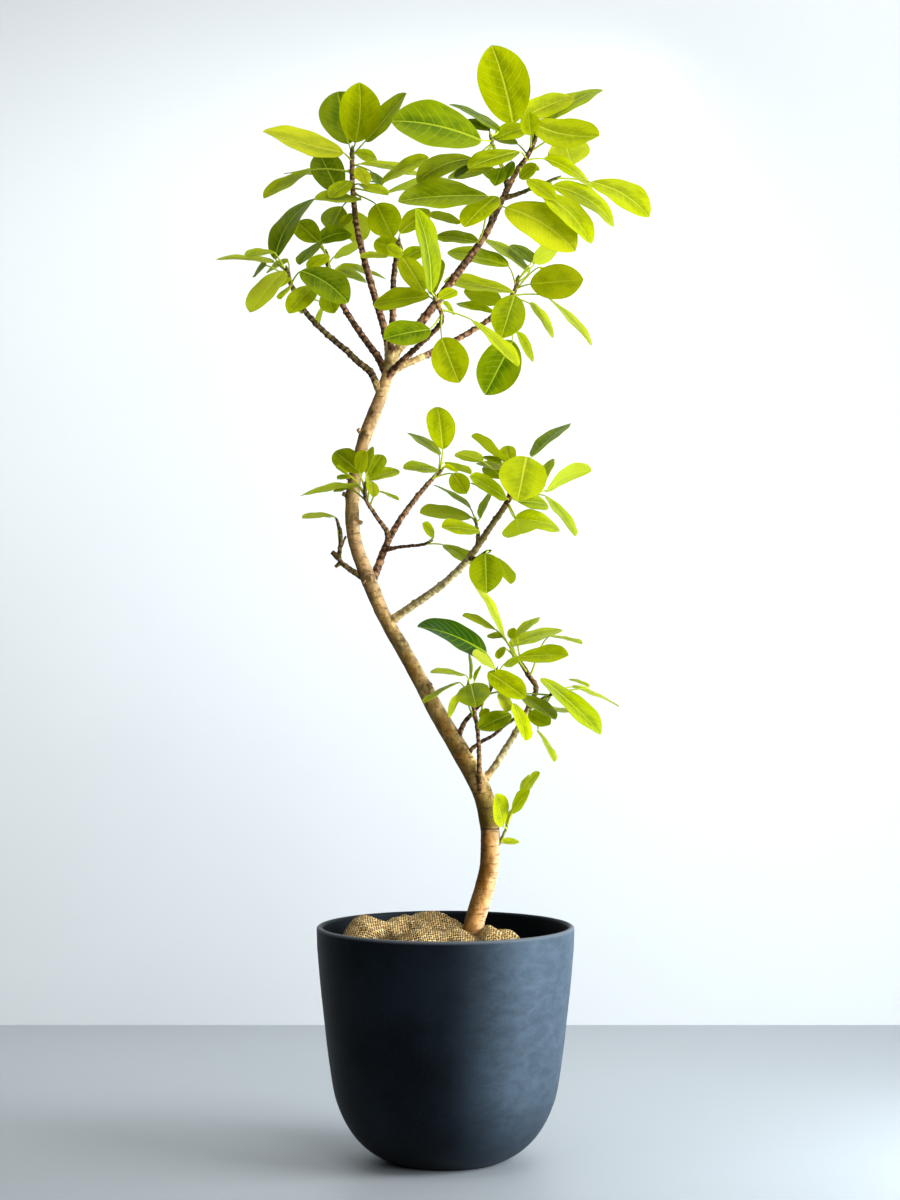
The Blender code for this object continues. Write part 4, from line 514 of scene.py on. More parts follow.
def limb_from(route, parent, foot_radius, end_radius, end_depth, step):
    """A side limb from its parent's centre line; its depth changes evenly along the route."""
    first = parent.nearest(*route[0])
    start_depth = seen_depth(first)
    flat = [Vector(p) for p in route]
    runs = [0.0]
    for a, b in zip(flat, flat[1:]):
        runs.append(runs[-1] + (b - a).length)
    points = []
    for spot, run in zip(flat, runs):
        t = run / runs[-1]
        depth = start_depth + (end_depth - start_depth) * t ** 1.15
        radius = foot_radius + (end_radius - foot_radius) * t
        centre = place(spot.x, spot.y, depth)
        points.append(Vector((*centre, radius * CM)))
    points[0] = Vector((*first, foot_radius * CM))
    return Limb(points, step)


def blade_turns(base, tip, width_seen, length, away, shares):
    """A blade's run, width, side to the right of its way and, at each share of its length, its
    upper side and cross direction, turned so that the given width shows."""
    run = (tip - base).normalized()
    to_eye = (EYE - (base + tip) * 0.5).normalized()
    side = run.cross(to_eye).normalized()
    face = side.cross(run).normalized()
    if (face.dot(to_eye) < 0) != (width_seen < 0):
        face = -face
    width = max(abs(width_seen), length * WIDTH_TO_LENGTH) * CM
    turns = []
    for t in shares:
        here = abs(width_seen) * CM / width * (1.0 + away * (1.0 - 2.0 * t))
        turn = math.copysign(math.acos(min(1.0, here)), side.z)
        upper = face * math.cos(turn) + side * math.sin(turn)
        turns.append((upper, run.cross(upper).normalized()))
    return run, width, side, turns


def leaf(spec, foot, corners, phase):
    """How one leaf lies: the model tries several depths, and its solid shows which it took."""
    base_a, base_u, tip_a, tip_u, width, way, length, bow, away = (*spec, 0.0, 0.0)[:9]
    seen_run = math.hypot(tip_a - base_a, tip_u - base_u)
    depth_run = math.sqrt(max(length * length - seen_run * seen_run, 0.0)) * way
    flat_foot = seen(foot)
    stalk_seen = math.hypot(base_a - flat_foot.x, base_u - flat_foot.y)
    stalk_run = math.sqrt(max(STALK_LONGEST ** 2 * 0.5 - stalk_seen * stalk_seen, 0.0)) * way * 0.6
    depth = seen_depth(foot) + stalk_run
    tries = []
    for trial in range(CLEAR_TRIES):
        shift = CLEAR_STEP * ((trial + 1) // 2) * (1 if trial % 2 else -1)
        tip = place(tip_a, tip_u, depth + depth_run + shift * 1.1)
        tries.append((corners.find(tip)[2], trial, place(base_a, base_u, depth + shift * 0.6), tip))
    _, _, base, tip = min(tries)
    return foot, base, tip, width, length, bow, away, phase


def operator(operation, turned=False):
    """A sum, product or the like that adds its math node."""
    def apply(self, other):
        return self.nodes.math(operation, *((other, self) if turned else (self, other)))
    return apply


class Wire:
    """A shader value that sums, products and the like can be made of, as of a number."""

    def __init__(self, nodes, socket):
        self.nodes, self.socket = nodes, socket

    __add__, __radd__ = operator("ADD"), operator("ADD", True)
    __sub__, __rsub__ = operator("SUBTRACT"), operator("SUBTRACT", True)
    __mul__, __rmul__ = operator("MULTIPLY"), operator("MULTIPLY", True)
    __truediv__, __pow__, __gt__ = operator("DIVIDE"), operator("POWER"), operator("GREATER_THAN")

    def __abs__(self):
        return self.nodes.math("ABSOLUTE", self)


class Nodes:
    """The nodes of a material or world; a wire, a colour or a value goes into each input."""

    def __init__(self, owner):
        owner.use_nodes = True
        self.owner, self.tree = owner, owner.node_tree
        self.shader = self.tree.nodes.get("Principled BSDF")

    def put(self, socket, value):
        if isinstance(value, Wire):
            self.tree.links.new(value.socket, socket)
        elif socket.type == "RGBA":
            socket.default_value = (*value, 1.0)
        else:
            socket.default_value = value

    def add(self, kind, inputs=(), out=0, **settings):
        """A new node with its inputs, listed or by name or number; gives one of its outputs."""
        node = self.tree.nodes.new("ShaderNode" + kind)
        for key, value in settings.items():
            setattr(node, key, value)
        for key, value in (inputs if isinstance(inputs, dict) else dict(enumerate(inputs))).items():
            self.put(node.inputs[key], value)
        return Wire(self, node.outputs[out])

    def math(self, operation, *values, clamp=False):
        return self.add("Math", values, operation=operation, use_clamp=clamp)

    def mix(self, share, low, high):
        return self.add("Mix", {0: share, 6: low, 7: high}, 2, data_type="RGBA")

    def coats(self, color, coats):
        """A colour under coats of (share, colour), the last on top."""
        for share, coat in coats:
            color = self.mix(share, color, coat)
        return color

    def step(self, value, low, high, out_low=0.0, out_high=1.0):
        return self.add("MapRange", (value, low, high, out_low, out_high),
                        interpolation_type="SMOOTHSTEP")

    def noise(self, vector, scale, detail=3.0, rough=0.5, distortion=0.0, stretch=None):
        if stretch:
            vector = self.add("Mapping", {"Vector": vector, "Scale": stretch})
        return self.add("TexNoise", {"Vector": vector, "Scale": scale, "Detail": detail,
                                     "Roughness": rough, "Distortion": distortion})

    def split(self, vector):
        node = self.add("SeparateXYZ", (vector,)).socket.node
        return [Wire(self, socket) for socket in node.outputs]

    def mark(self, name):
        return self.split(self.add("Attribute", out="Vector", attribute_name=name))

    def join(self, x, y, z=0.0):
        return self.add("CombineXYZ", (x, y, z))

    def place(self):
        return self.add("TexCoord", out="Object")

    def normal(self):
        return self.add("NewGeometry", out="Normal")

    def window_side(self, low, high, most):
        """Share, up to most, by how far a face is turned towards the window at the right."""
        return self.step(self.split(self.normal())[0], low, high, 0.0, most)

    def bump(self, height, distance, strength):
        return self.add("Bump", {"Height": height, "Distance": distance, "Strength": strength})

    def fill(self, color, rough, specular=0.5, **others):
        """Fills in the main shader."""
        inputs = {"Base Color": color, "Roughness": rough, "Specular IOR Level": specular}
        for key, value in {**inputs, **others}.items():
            self.put(self.shader.inputs[key.replace("_", " ")], value)
        return self.owner

    def blend(self, share, first, second):
        """Ends the tree in a blend of two shaders."""
        both = self.add("MixShader", {0: share, 1: Wire(self, first), 2: second})
        end = next(node for node in self.tree.nodes if "ShaderNodeOutput" in node.bl_idname)
        self.put(end.inputs["Surface"], both)
        return self.owner


def leaf_material():
    """Lime to dark green blades with pale veins that let the light through, and their stalks."""
    n = Nodes(bpy.data.materials.new("council_leaf"))
    x, t, reach = n.mark("leaf_place")
    tone, dark, young = n.mark("leaf_look")
    under, stalk, seed = n.mark("leaf_side")
    side, far = abs(x), abs(reach)
    # Side veins climb towards the tip, those of one half between those of the other
    climb = far * VEIN_CLIMB[0] + far ** 2.0 * VEIN_CLIMB[1]
    wobble = (n.noise(n.place(), 22.0, 2.0) - 0.5) * 0.5
    phase = (t - climb) * VEIN_PAIRS + (x > 0.0) * VEIN_SHIFT + wobble
    near = abs(phase - n.math("FLOOR", phase) - 0.5)
    lateral = n.step(near, 0.405, 0.475) * n.step(side, 0.98, 0.70)
    rib = 1.0 - n.step(far / (t * -0.0110 + 0.0175), 0.55, 1.25)
    vein = n.math("MAXIMUM", lateral * 0.30, rib * 0.92)
    margin = n.step(side, 0.955, 0.995)

    # Dark green blotches round the midrib, fewer on new leaves
    cloud = n.noise(n.join(reach * 5.0, t * 2.6, seed), 1.6, 4.0, 0.62)
    tissue = n.noise(n.join(reach * 60.0, t * 60.0, seed), 3.2, 2.0, 0.7)
    shade = n.step((cloud - 0.5) * 2.2 - side, -0.85, 0.15, 0.0, 0.48)
    shade = (shade + n.step(tissue, 0.40, 0.75, 0.0, 0.16)) * (young * -0.8 + 1.0)
    shade = n.math("ADD", shade * (dark * -0.55 + 1.0), dark * 0.88, clamp=True)
    color = n.coats(n.mix(tone, (0.540, 0.635, 0.0003), (0.830, 0.810, 0.0006)), (
        (shade, (0.030, 0.115, 0.0003)),
        (n.step(dark, 1.0, 1.1), (0.012, 0.055, 0.0001)),
        (young * 0.75, (0.640, 0.690, 0.100)),
        (vein, n.mix(dark, (0.800, 0.820, 0.070), (0.300, 0.440, 0.008))),
        (margin * 0.45, (0.580, 0.660, 0.010)),
        (under * 0.45, (0.420, 0.520, 0.020)),
        (stalk, (0.460, 0.540, 0.040))))
    height = (1.0 - lateral) * 0.35 + tissue * 0.10 - rib * 0.5
    normal = n.bump(height * ((1.0 - stalk) * (under * -1.6 + 1.0)), 0.0012, 0.7)
    n.fill(color, under * 0.22 + 0.38, 0.20, Specular_Tint=(0.95, 1.0, 0.05), Normal=normal)
    glow = n.coats(color, ((dark * -0.45 + 0.5, (0.80, 0.86, 0.001)),
                           (vein * 0.35, (0.88, 0.92, 0.05))))
    through = n.add("BsdfTranslucent", {"Color": glow, "Normal": normal})
    dense = n.math("MAXIMUM", dark * 0.35, stalk)
    return n.blend(0.52 - dense * 0.6 + young * 0.12, n.shader.outputs[0], through)


def trunk_material():
    """Tan bark, pinkish below the graft and mossy above it, with cracks, specks and scars, painted
    paler as lit on the side towards the window and painted darker as shaded on the side away from
    it.
    """
    n = Nodes(bpy.data.materials.new("trunk_bark"))
    _, scar, stub = n.mark("bark_place")
    place = n.place()
    high = n.split(place)[2]
    blotch = n.noise(place, 38.0, 5.0, 0.62, stretch=(1.0, 1.0, 0.45))
    grain = n.noise(place, 320.0, 3.0, 0.6, stretch=(1.0, 1.0, 0.20))
    pink = n.mix(n.step(blotch, 0.40, 0.60), (0.340, 0.140, 0.014), (0.850, 0.420, 0.125))
    moss = n.step(high, 0.49, 0.53) * n.step(high, 0.76, 0.60)
    moss = moss * n.step(n.noise(place, 26.0, 4.0, 0.6), 0.47, 0.62)
    ring_moss = n.step(high, 0.496, 0.502) * n.step(high, 0.555, 0.530, 0.0, 0.9)
    moss = n.math("MAXIMUM", moss, ring_moss)
    rough = n.step(n.noise(place, 17.0, 5.0, 0.68), 0.50, 0.60)
    mottle = n.step(n.noise(place, 78.0, 4.0, 0.65, stretch=(1.0, 1.0, 0.7)), 0.51, 0.60)
    speck = n.step(n.noise(place, 150.0, 2.0, stretch=(0.6, 0.6, 2.6)), 0.66, 0.74)
    crack = n.step(n.noise(place, 85.0, 4.0, 0.7, stretch=(0.7, 0.7, 3.4)), 0.54, 0.66)
    graft = n.step(abs(high - (blotch * 0.006 + 0.4935)), 0.0022, 0.0008)
    color = n.coats((0.420, 0.205, 0.036), (
        (n.step(blotch, 0.40, 0.62), (0.950, 0.640, 0.230)),
        (n.step(high, 0.78, 0.90, 0.0, 0.60), (0.940, 0.560, 0.270)),
        (n.step(high, 0.505, 0.485), pink),
        (moss * 0.80, (0.185, 0.150, 0.004)),
        # Painted light: the side towards the window is painted paler
        (n.window_side(0.05, 0.90, 0.50) * (1.0 - moss), (0.960, 0.720, 0.450)),
        (rough * 0.42, (0.150, 0.090, 0.028)),
        (mottle * n.step(high, 0.46, 0.54, 0.30, 0.38), (0.175, 0.105, 0.018)),
        # Painted shade: the side away from the window is painted darker
        (n.window_side(0.30, -0.85, 0.58), (0.110, 0.056, 0.008)),
        (speck * 0.6, (0.620, 0.500, 0.280)),
        (crack * 0.68, (0.130, 0.070, 0.025)),
        (n.step(grain, 0.35, 0.75) * 0.25, (0.200, 0.140, 0.080)),
        (scar * 0.80, (0.070, 0.042, 0.012)),
        (graft * 0.75, (0.050, 0.030, 0.020)),
        (stub, (0.260, 0.170, 0.090))))
    height = blotch * 0.5 + grain * 0.25 - crack * 0.4 + speck * 0.3
    return n.fill(color, grain * 0.2 + 0.62, 0.12, Normal=n.bump(height, 0.0022, 0.9))


def branch_material(name, dark, light, end, greens=(0.45, 1.0), painted_light_and_marks=1.0):
    """Bark of a side branch, from dark to light in blotches, greener near its young end, with
    painted shade on the side away from the window.
    """
    n = Nodes(bpy.data.materials.new(name))
    young, scar, ring = n.mark("bark_place")
    short_of_foot = n.mark("bark_foot")[0]
    place = n.place()
    blotch = n.noise(place, 105.0, 5.0, 0.66)
    flake = n.noise(place, 240.0, 3.0, 0.6, stretch=(1.0, 1.0, 1.6))
    patchy = n.step(n.noise(place, 75.0, 3.0, 0.6), 0.34, 0.56, 0.22, 0.92 * painted_light_and_marks)
    tan = n.mix(n.step(blotch, 0.36, 0.66), (0.330, 0.200, 0.060), (0.800, 0.600, 0.270))
    color = n.coats(dark, (
        (n.step(blotch, 0.43, 0.57), light),
        (n.step(flake, 0.58, 0.70, 0.0, 0.6), (0.600, 0.390, 0.220)),
        (n.step(young, *greens, 0.0, 0.9), end),
        # Painted shade: the side away from the window is painted darker
        (n.window_side(0.30, -0.85, 0.68 * painted_light_and_marks), (0.058, 0.028, 0.007)),
        (ring * patchy, (0.024, 0.010, 0.006)),
        (scar * 0.6, (0.300, 0.180, 0.095)),
        (n.step(short_of_foot + (blotch - 0.5) * 2.4, -0.5, 0.7), tan)))
    normal = n.bump(blotch * 0.5 + flake * 0.4, 0.0018, 0.9)
    return n.fill(color, flake * 0.25 + 0.50, 0.16, Normal=normal)


def pot_material():
    """Dark blue-grey, nearly black, with painted sheen in brushed streaks on the side towards the
    window, a painted highlight along the lip and painted shade inside.
    """
    n = Nodes(bpy.data.materials.new("pot_rubber"))
    place = n.place()
    x, y, high = n.split(place)
    turn = n.math("ARCTAN2", y, x)
    turned = n.join(turn, high)
    streak = n.noise(turned, 6.0, 6.0, 0.65, stretch=(9.0, 1.6, 1.0))
    cloud = n.noise(place, 7.0, 4.0, 0.55)
    scuff = n.noise(turned, 26.0, 5.0, 0.7, stretch=(1.0, 9.0, 1.0))
    brushed = n.noise(turned, 2.4, 7.0, 0.72, 0.6, stretch=(2.6, 26.0, 1.0))
    # Painted sheen: the side towards the window is painted paler in brushed streaks, fading towards
    # the foot
    painted_light_and_marks = n.step(turn, -1.60, -0.80) * n.step(turn, 1.30, 0.20)
    painted_light_and_marks = painted_light_and_marks * n.step(brushed, 0.30, 0.72, 0.62, 1.0)
    painted_light_and_marks = painted_light_and_marks * n.step(n.noise(place, 8.0), 0.30, 0.66, 0.80, 1.0)
    painted_light_and_marks = painted_light_and_marks * n.step(high, 0.02, 0.17, 0.35, 1.0)
    outward = n.add("VectorMath", (n.join(x, y), n.normal()), "Value", operation="DOT_PRODUCT")
    color = n.coats((0.0014, 0.0020, 0.0030), (
        (n.step(cloud, 0.35, 0.70), (0.0060, 0.0095, 0.0150)),
        (n.step(scuff, 0.52, 0.76, 0.0, 0.30), (0.020, 0.032, 0.048)),
        (painted_light_and_marks, (0.072, 0.104, 0.142)),
        # Painted highlight: a paler band along the lip
        (n.step(high, 0.3440, 0.3500) * 0.75, (0.130, 0.145, 0.160)),
        # Painted shade: faces turned in towards the axis, the inside wall, are painted darker
        (n.step(outward, 0.0, -0.05) * 0.95, (0.0015, 0.0022, 0.0034))))
    height = n.noise(place, 900.0, 2.0) * 0.12 + streak * 0.5
    return n.fill(color, streak * 0.16 + scuff * 0.10 + 0.42, 0.13,
                  Specular_Tint=(0.62, 0.82, 1.0), Normal=n.bump(height, 0.0008, 0.35))


def soil_material():
    """Dark crumbly soil with pale flecks."""
    n = Nodes(bpy.data.materials.new("potting_soil"))
    place = n.place()
    crumb = n.noise(place, 190.0, 6.0, 0.7)
    clod = n.noise(place, 45.0, 4.0, 0.6)
    fleck = n.step(n.noise(place, 420.0, 1.0), 0.70, 0.76)
    color = n.coats((0.014, 0.009, 0.006), (
        (n.step(crumb, 0.30, 0.70), (0.070, 0.045, 0.028)), (fleck * 0.7, (0.260, 0.210, 0.150))))
    return n.fill(color, 0.95, Normal=n.bump(crumb + clod, 0.004, 0.9))


def burlap_material():
    """An open plain weave, drawn in the cloth's own flat measure, with painted shade in the cloth's
    hollows and between its yarns.
    """
    n = Nodes(bpy.data.materials.new("jute_burlap"))
    u, v, hollow = n.mark("cloth_place")
    place = n.place()
    drift = (n.noise(place, 30.0, 2.0) - 0.5) * 0.40
    warp = u / CLOTH_PITCH + drift
    weft = v / CLOTH_PITCH + drift * -0.8
    yarns = []
    for run, across, lift in ((warp, weft, 0.25), (weft, warp, -0.25)):
        number = n.math("FLOOR", run)
        far = abs(run - number - 0.5)
        slub = n.noise(n.join(number * 7.3, across * 0.16), 1.0, 2.0)
        width = slub * 0.20 + 0.125
        solid = n.step(far - width, 0.045, -0.02)
        rounded = 1.0 - n.math("DIVIDE", far, width, clamp=True) ** 2.0
        wave = n.math("COSINE", across * math.pi) * n.math("COSINE", number * math.pi)
        yarns.append((slub, solid, solid * (rounded * 0.5 + (wave * lift + 0.5))))
    (slub_a, solid_a, high_a), (slub_b, solid_b, high_b) = yarns
    height = n.math("MAXIMUM", high_a, high_b)
    fibre = n.noise(place, 700.0, 3.0, 0.7)
    color = n.coats((0.520, 0.285, 0.080), (
        (n.step(slub_a + slub_b, 0.75, 1.25), (0.990, 0.740, 0.340)),
        (n.step(fibre, 0.40, 0.75, 0.0, 0.5), (0.800, 0.600, 0.290)),
        # Painted shade: the low parts of the weave, at yarn edges and where yarns dip under each
        # other, are painted nearly black
        (n.step(height, 0.92, 0.40, 0.0, 0.98), (0.024, 0.012, 0.004)),
        (n.step(n.noise(place, 14.0), 0.40, 0.68, 0.0, 0.25), (0.330, 0.225, 0.110)),
        # Painted shade: the cloth's hollows are painted dark brown
        (hollow * 0.75, (0.070, 0.040, 0.014))))
    see = n.math("MAXIMUM", n.math("MAXIMUM", solid_a, solid_b), 0.10)
    return n.fill(color, 0.92, 0.15, Normal=n.bump(height + fibre * 0.15, 0.0022, 0.9), Alpha=see)


def stage_material(name, color, rough):
    """A plain surface that can't be seen from behind, or far from the tree."""
    n = Nodes(bpy.data.materials.new(name))
    place = n.place()
    n.fill(n.mix(n.noise(place, 1.6, 4.0, 0.6), tuple(c * 0.93 for c in color), color), rough)
    x, y, _ = n.split(place)
    far = n.add("VectorMath", (n.join(x, y),), "Value", operation="LENGTH")
    fade = n.step(far, *FADE_FROM_TO) * n.add("LightPath", out="Is Camera Ray")
    fade = n.math("MAXIMUM", fade, n.add("NewGeometry", out="Backfacing"))
    return n.blend(fade, n.shader.outputs[0], n.add("BsdfTransparent"))


def mesh_piece(name, slot, node, points, faces, marks, material):
    """A finished piece that stands for a node, with its marks in attributes of its points."""
    mesh = bpy.data.meshes.new(name)
    mesh.from_pydata(np.asarray(points, dtype=float).tolist(), [],
                     [list(map(int, face)) for face in faces])
    for key, values in marks.items():
        mark = mesh.attributes.new(key, "FLOAT_VECTOR", "POINT")
        mark.data.foreach_set("vector", np.asarray(values, dtype=np.float32).ravel())
    mesh.polygons.foreach_set("use_smooth", [True] * len(mesh.polygons))
    mesh.set_sharp_from_angle(angle=math.radians(55))
    mesh.materials.append(material)
    mesh.update()
    piece = in_scene(name, mesh)
    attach(piece, "root")
    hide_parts(node)
    return piece


def ring_faces(lines, around):
    """Faces of a skin through rings of points, closed at both ends."""
    faces = []
    for k in range(lines - 1):
        for j in range(around):
            a = k * around + j
            b = k * around + (j + 1) % around
            faces.append((a, b, b + around, a + around))
    last = (lines - 1) * around
    return faces + [tuple(range(around - 1, -1, -1)), tuple(range(last, last + around))]


def circles(sides, others, around):
    """Turns of points round a stem and their ways out from its middle at each ring."""
    turns = np.arange(around) * (2 * math.pi / around)
    cosines, sines = np.cos(turns)[None, :, None], np.sin(turns)[None, :, None]
    return turns, sides[:, None] * cosines + others[:, None] * sines


def bell(distance, reach):
    """1 at no distance, and fading out past a reach."""
    return np.exp(-(distance / reach) ** 2)


def bark_noise(centre, turn, scale, round_scale, seed=0.0):
    """Noise that runs on round a stem."""
    return noise.noise(Vector(centre) * scale
                       + Vector((math.cos(turn), math.sin(turn), seed)) * round_scale)


def frames_along(centres):
    """Two cross directions at each of the centres, carried along without twist."""
    heads = np.gradient(centres, axis=0)
    heads /= np.linalg.norm(heads, axis=1)[:, None]
    side = np.cross(heads[0], ASIDE)
    sides = []
    for head in heads:
        side = side - head * np.dot(side, head)
        side /= np.linalg.norm(side)
        sides.append(side)
    sides = np.array(sides)
    return sides, np.cross(heads, sides)


def sample(limb, start, stop, step):
    """Runs, centres smoothed over five spots, and radii along a limb."""
    count = max(4, int((stop - start) / step) + 1)
    runs = np.linspace(start, stop, count)
    fine = np.array([tuple(p) for p in limb.fine])
    lengths = np.array(limb.runs)
    spots = np.stack([np.interp(runs, lengths, fine[:, k]) for k in range(4)], axis=1)
    kernel = np.ones(5) / 5
    for k in range(3):
        padded = np.pad(spots[:, k], 2, mode="edge")
        padded[:2] = 2 * spots[0, k] - spots[2:0:-1, k]
        padded[-2:] = 2 * spots[-1, k] - spots[-2:-4:-1, k]
        spots[:, k] = np.convolve(padded, kernel, mode="valid")
    return runs, spots[:, :3], spots[:, 3]


def scars(seed, start, stop, first_gap, last_gap):
    """Heights along a stem of its leaf scars, closer towards the young end, each with its turn."""
    rng = np.random.default_rng(seed)
    found, run, turn = [], start, rng.uniform(0, 6.28)
    while run < stop:
        found.append((run, turn))
        share = (run - start) / max(stop - start, 1e-6)
        run += (first_gap + (last_gap - first_gap) * share) * rng.uniform(0.75, 1.25)
        turn += 2.4 + rng.uniform(-0.2, 0.2)
    return found


def stem_skin(limb, start, stop, seed, foot_flare, flare_at, young, bud, *, around, step, gaps,
              ring_high, scar_high, ring_wide):
    """A stem's bark surface with leaf-scar rings, scars on alternate sides and small swellings."""
    runs, centres, radii = sample(limb, start, stop, step)
    turns, circle = circles(*frames_along(centres), around)
    lift, scar_mask, ring_mask = np.zeros((3, len(runs), around))
    for run, turn in scars(seed, start + 0.004, stop, *gaps):
        lift += ring_high * bell(runs - run, 0.0010)[:, None]
        ring_mask += bell(runs - run - 0.0020, ring_wide)[:, None]
        apart = (turns - turn + math.pi) % (2 * math.pi) - math.pi
        across = apart[None, :] * radii[:, None]
        oval = np.exp(-((runs - run + 0.0022) / 0.0021)[:, None] ** 2 - (across / 0.0026) ** 2)
        lift += scar_high * oval
        scar_mask += oval
    wave = np.array([[bark_noise(c, turn, 60, 0.7, seed) for turn in turns] for c in centres])
    lift += wave * 0.05 * radii[:, None]
    full = radii + foot_flare * np.exp(-np.maximum(runs - flare_at, 0.0) / 0.007)
    if bud:
        left = np.clip((stop - runs) / BUD_LENGTH, 0.0, 1.0)
        full = full * (0.06 + 0.94 * left ** 0.75) * (1.0 + 0.25 * bell(left - 0.75, 0.2))
    points = (centres[:, None] + circle * (full[:, None] + lift)[:, :, None]).reshape(-1, 3)
    share = young[0] + (young[1] - young[0]) * (runs - start) / max(stop - start, 1e-6)
    marks = np.stack([np.repeat(share, around), np.clip(scar_mask, 0, 1).ravel(),
                      np.clip(ring_mask, 0, 1).ravel()], axis=1)
    return points, ring_faces(len(runs), around), marks


def extended(limb, extra):
    """The same limb carried on straight past its end, for its bud."""
    grown = copy(limb)
    tip = Vector(limb.fine[-1][:3])
    ahead = (tip - Vector(limb.fine[-4][:3])).normalized()
    grown.fine = limb.fine + [Vector((*(tip + ahead * extra), limb.fine[-1][3]))]
    grown.runs = limb.runs + [limb.length + extra]
    grown.length = limb.length + extra
    return grown


def blade_outline(t):
    """Half width of a blade as a share of its widest, round at the base and bluntly pointed."""
    peak = 0.55
    low = np.clip(t / peak, 0.0, 1.0)
    high = np.clip((t - peak) / (1.0 - peak), 0.0, 1.0)
    return np.where(t < peak, (1.0 - (1.0 - low) ** 2.0) ** 0.64, (1.0 - high ** 2.25) ** 0.72)


def fine_leaf(foot, base, tip, width_seen, length, bow, away, phase, look, seed):
    """A leaf's blade and stalk in fine detail, where the model has it: points, faces and marks."""
    even = np.linspace(0.0, 1.0, BLADE_LINES)
    t = even - 0.03 * np.sin(2 * math.pi * even)
    run, width, side, turns = blade_turns(base, tip, width_seen, length, away, t.tolist())
    size = (tip - base).length
    foot, base, run, side = (np.array(v) for v in (foot, base, run, side))
    upper, across = (np.array([tuple(turn[k]) for turn in turns])[:, None] for k in (0, 1))
    half = np.linspace(0.0, 1.0, BLADE_COLUMNS // 2 + 1)[1:] ** 1.12
    x = np.concatenate([-half[::-1], [-0.035, 0.0, 0.035], half])
    grid_t, grid_x = np.meshgrid(t, x, indexing="ij")
    outline = np.maximum(blade_outline(grid_t), 0.0)
    reach = np.maximum(width * 0.5 * outline, 0.0011 - 0.0007 * grid_t)
    aside = np.abs(grid_x)
    ripple = EDGE_WAVE * width * np.sin(phase + 7.0 * grid_t + 1.3 * grid_x)
    ripple += 0.012 * width * np.sin(phase * 2.3 + 17.0 * grid_t + 2.0 * grid_x)
    climb = VEIN_CLIMB[0] * aside * reach / size + VEIN_CLIMB[1] * (aside * reach / size) ** 2
    veins = (grid_t - climb) * VEIN_PAIRS + VEIN_SHIFT * (grid_x > 0)
    quilt = QUILT * np.cos(2 * math.pi * veins) * np.sin(math.pi * np.clip(aside, 0, 1))
    lift = BLADE_FOLD * reach * aside ** 1.2 + ripple * outline * aside ** 2 + quilt
    arch = BLADE_ARCH * size * 4 * grid_t * (1 - grid_t) - 0.02 * size * grid_t ** 5
    bend = (bow * CM * 4 * grid_t * (1 - grid_t))[..., None]
    middle = base + run * (size * grid_t[..., None]) + upper * arch[..., None] + side * bend
    sheet = middle + across * (grid_x * reach)[..., None] + upper * lift[..., None]
    at_rib = bell(grid_x * reach, 0.0012)
    top = sheet + upper * (BLADE_HALF - RIB_GROOVE * at_rib)[..., None]
    low = sheet - upper * (BLADE_HALF + RIB_RIDGE * at_rib * (1 - 0.8 * grid_t))[..., None]
    lines, columns = grid_t.shape
    count = lines * columns
    index = np.arange(count).reshape(lines, columns)
    a, b, c, d = index[:-1, :-1], index[:-1, 1:], index[1:, 1:], index[1:, :-1]
    upside = np.stack([a, b, c, d], axis=-1).reshape(-1, 4)
    rim = np.concatenate([index[:, 0], index[-1, 1:], index[-2::-1, -1], index[0, -2:0:-1]])
    after = np.roll(rim, -1)
    edge = np.stack([rim, after, after + count, rim + count], axis=-1)
    faces = np.concatenate([upside, (upside + count)[:, ::-1], edge])
    points = np.concatenate([top.reshape(-1, 3), low.reshape(-1, 3)])
    place_mark = np.stack([grid_x, grid_t, grid_x * reach / size], axis=-1).reshape(-1, 3)
    side_mark = np.zeros((2 * count, 3))
    side_mark[count:, 0] = 1.0
    side_mark[:, 2] = seed
    # The stalk is a Bezier curve from the twig into the underside of the blade
    stalk = base - foot
    stalk_size = np.linalg.norm(stalk)
    rise = foot + stalk * 0.40 + np.array([0, 0, 0.05 * stalk_size])
    meet = base - (stalk * 0.14 + run * stalk_size * 0.14)
    last = base + run * size * 0.03 + upper[0, 0] * size * 0.008
    s = np.linspace(0.0, 1.0, STALK_LINES)[:, None]
    line = ((1 - s) ** 3 * foot + 3 * s * (1 - s) ** 2 * rise + 3 * s * s * (1 - s) * meet
            + s ** 3 * last)
    _, circle = circles(*frames_along(line), STALK_ROUND)
    thick = STALK_RADIUS * (1.42 - 0.42 * s + 0.5 * np.exp(-s / 0.10))
    thick = thick * (1.0 - 0.55 * np.clip((s - 0.9) / 0.1, 0, 1))
    stem = (line[:, None] + circle * thick[:, :, None]).reshape(-1, 3)
    stem_faces = [tuple(i + 2 * count for i in face)
                  for face in ring_faces(STALK_LINES, STALK_ROUND)]
    stem_side = np.tile((0.0, 1.0, seed), (len(stem), 1))
    points = np.concatenate([points, stem])
    marks = {"leaf_place": np.concatenate([place_mark, place_mark, np.zeros_like(stem)]),
             "leaf_side": np.concatenate([side_mark, stem_side]),
             "leaf_look": np.tile(LOOK_VALUES[look], (len(points), 1))}
    return points, list(map(tuple, faces.tolist())) + stem_faces, marks


def joined(chunks):
    """Points, faces and marks of several shapes as one."""
    points, faces, marks, start = [], [], {}, 0
    for some_points, some_faces, some_marks in chunks:
        points.append(some_points)
        faces += [tuple(i + start for i in face) for face in some_faces]
        for key, values in some_marks.items():
            marks.setdefault(key, []).append(values)
        start += len(some_points)
    marks = {key: np.concatenate(values) for key, values in marks.items()}
    return np.concatenate(points), faces, marks


def corners_of(node):
    """The corners of a node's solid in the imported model, to find the nearest of them."""
    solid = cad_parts[node]
    corners = KDTree(len(solid.data.vertices))
    for corner in solid.data.vertices:
        corners.insert(solid.matrix_world @ corner.co, corner.index)
    corners.balance()
    return corners


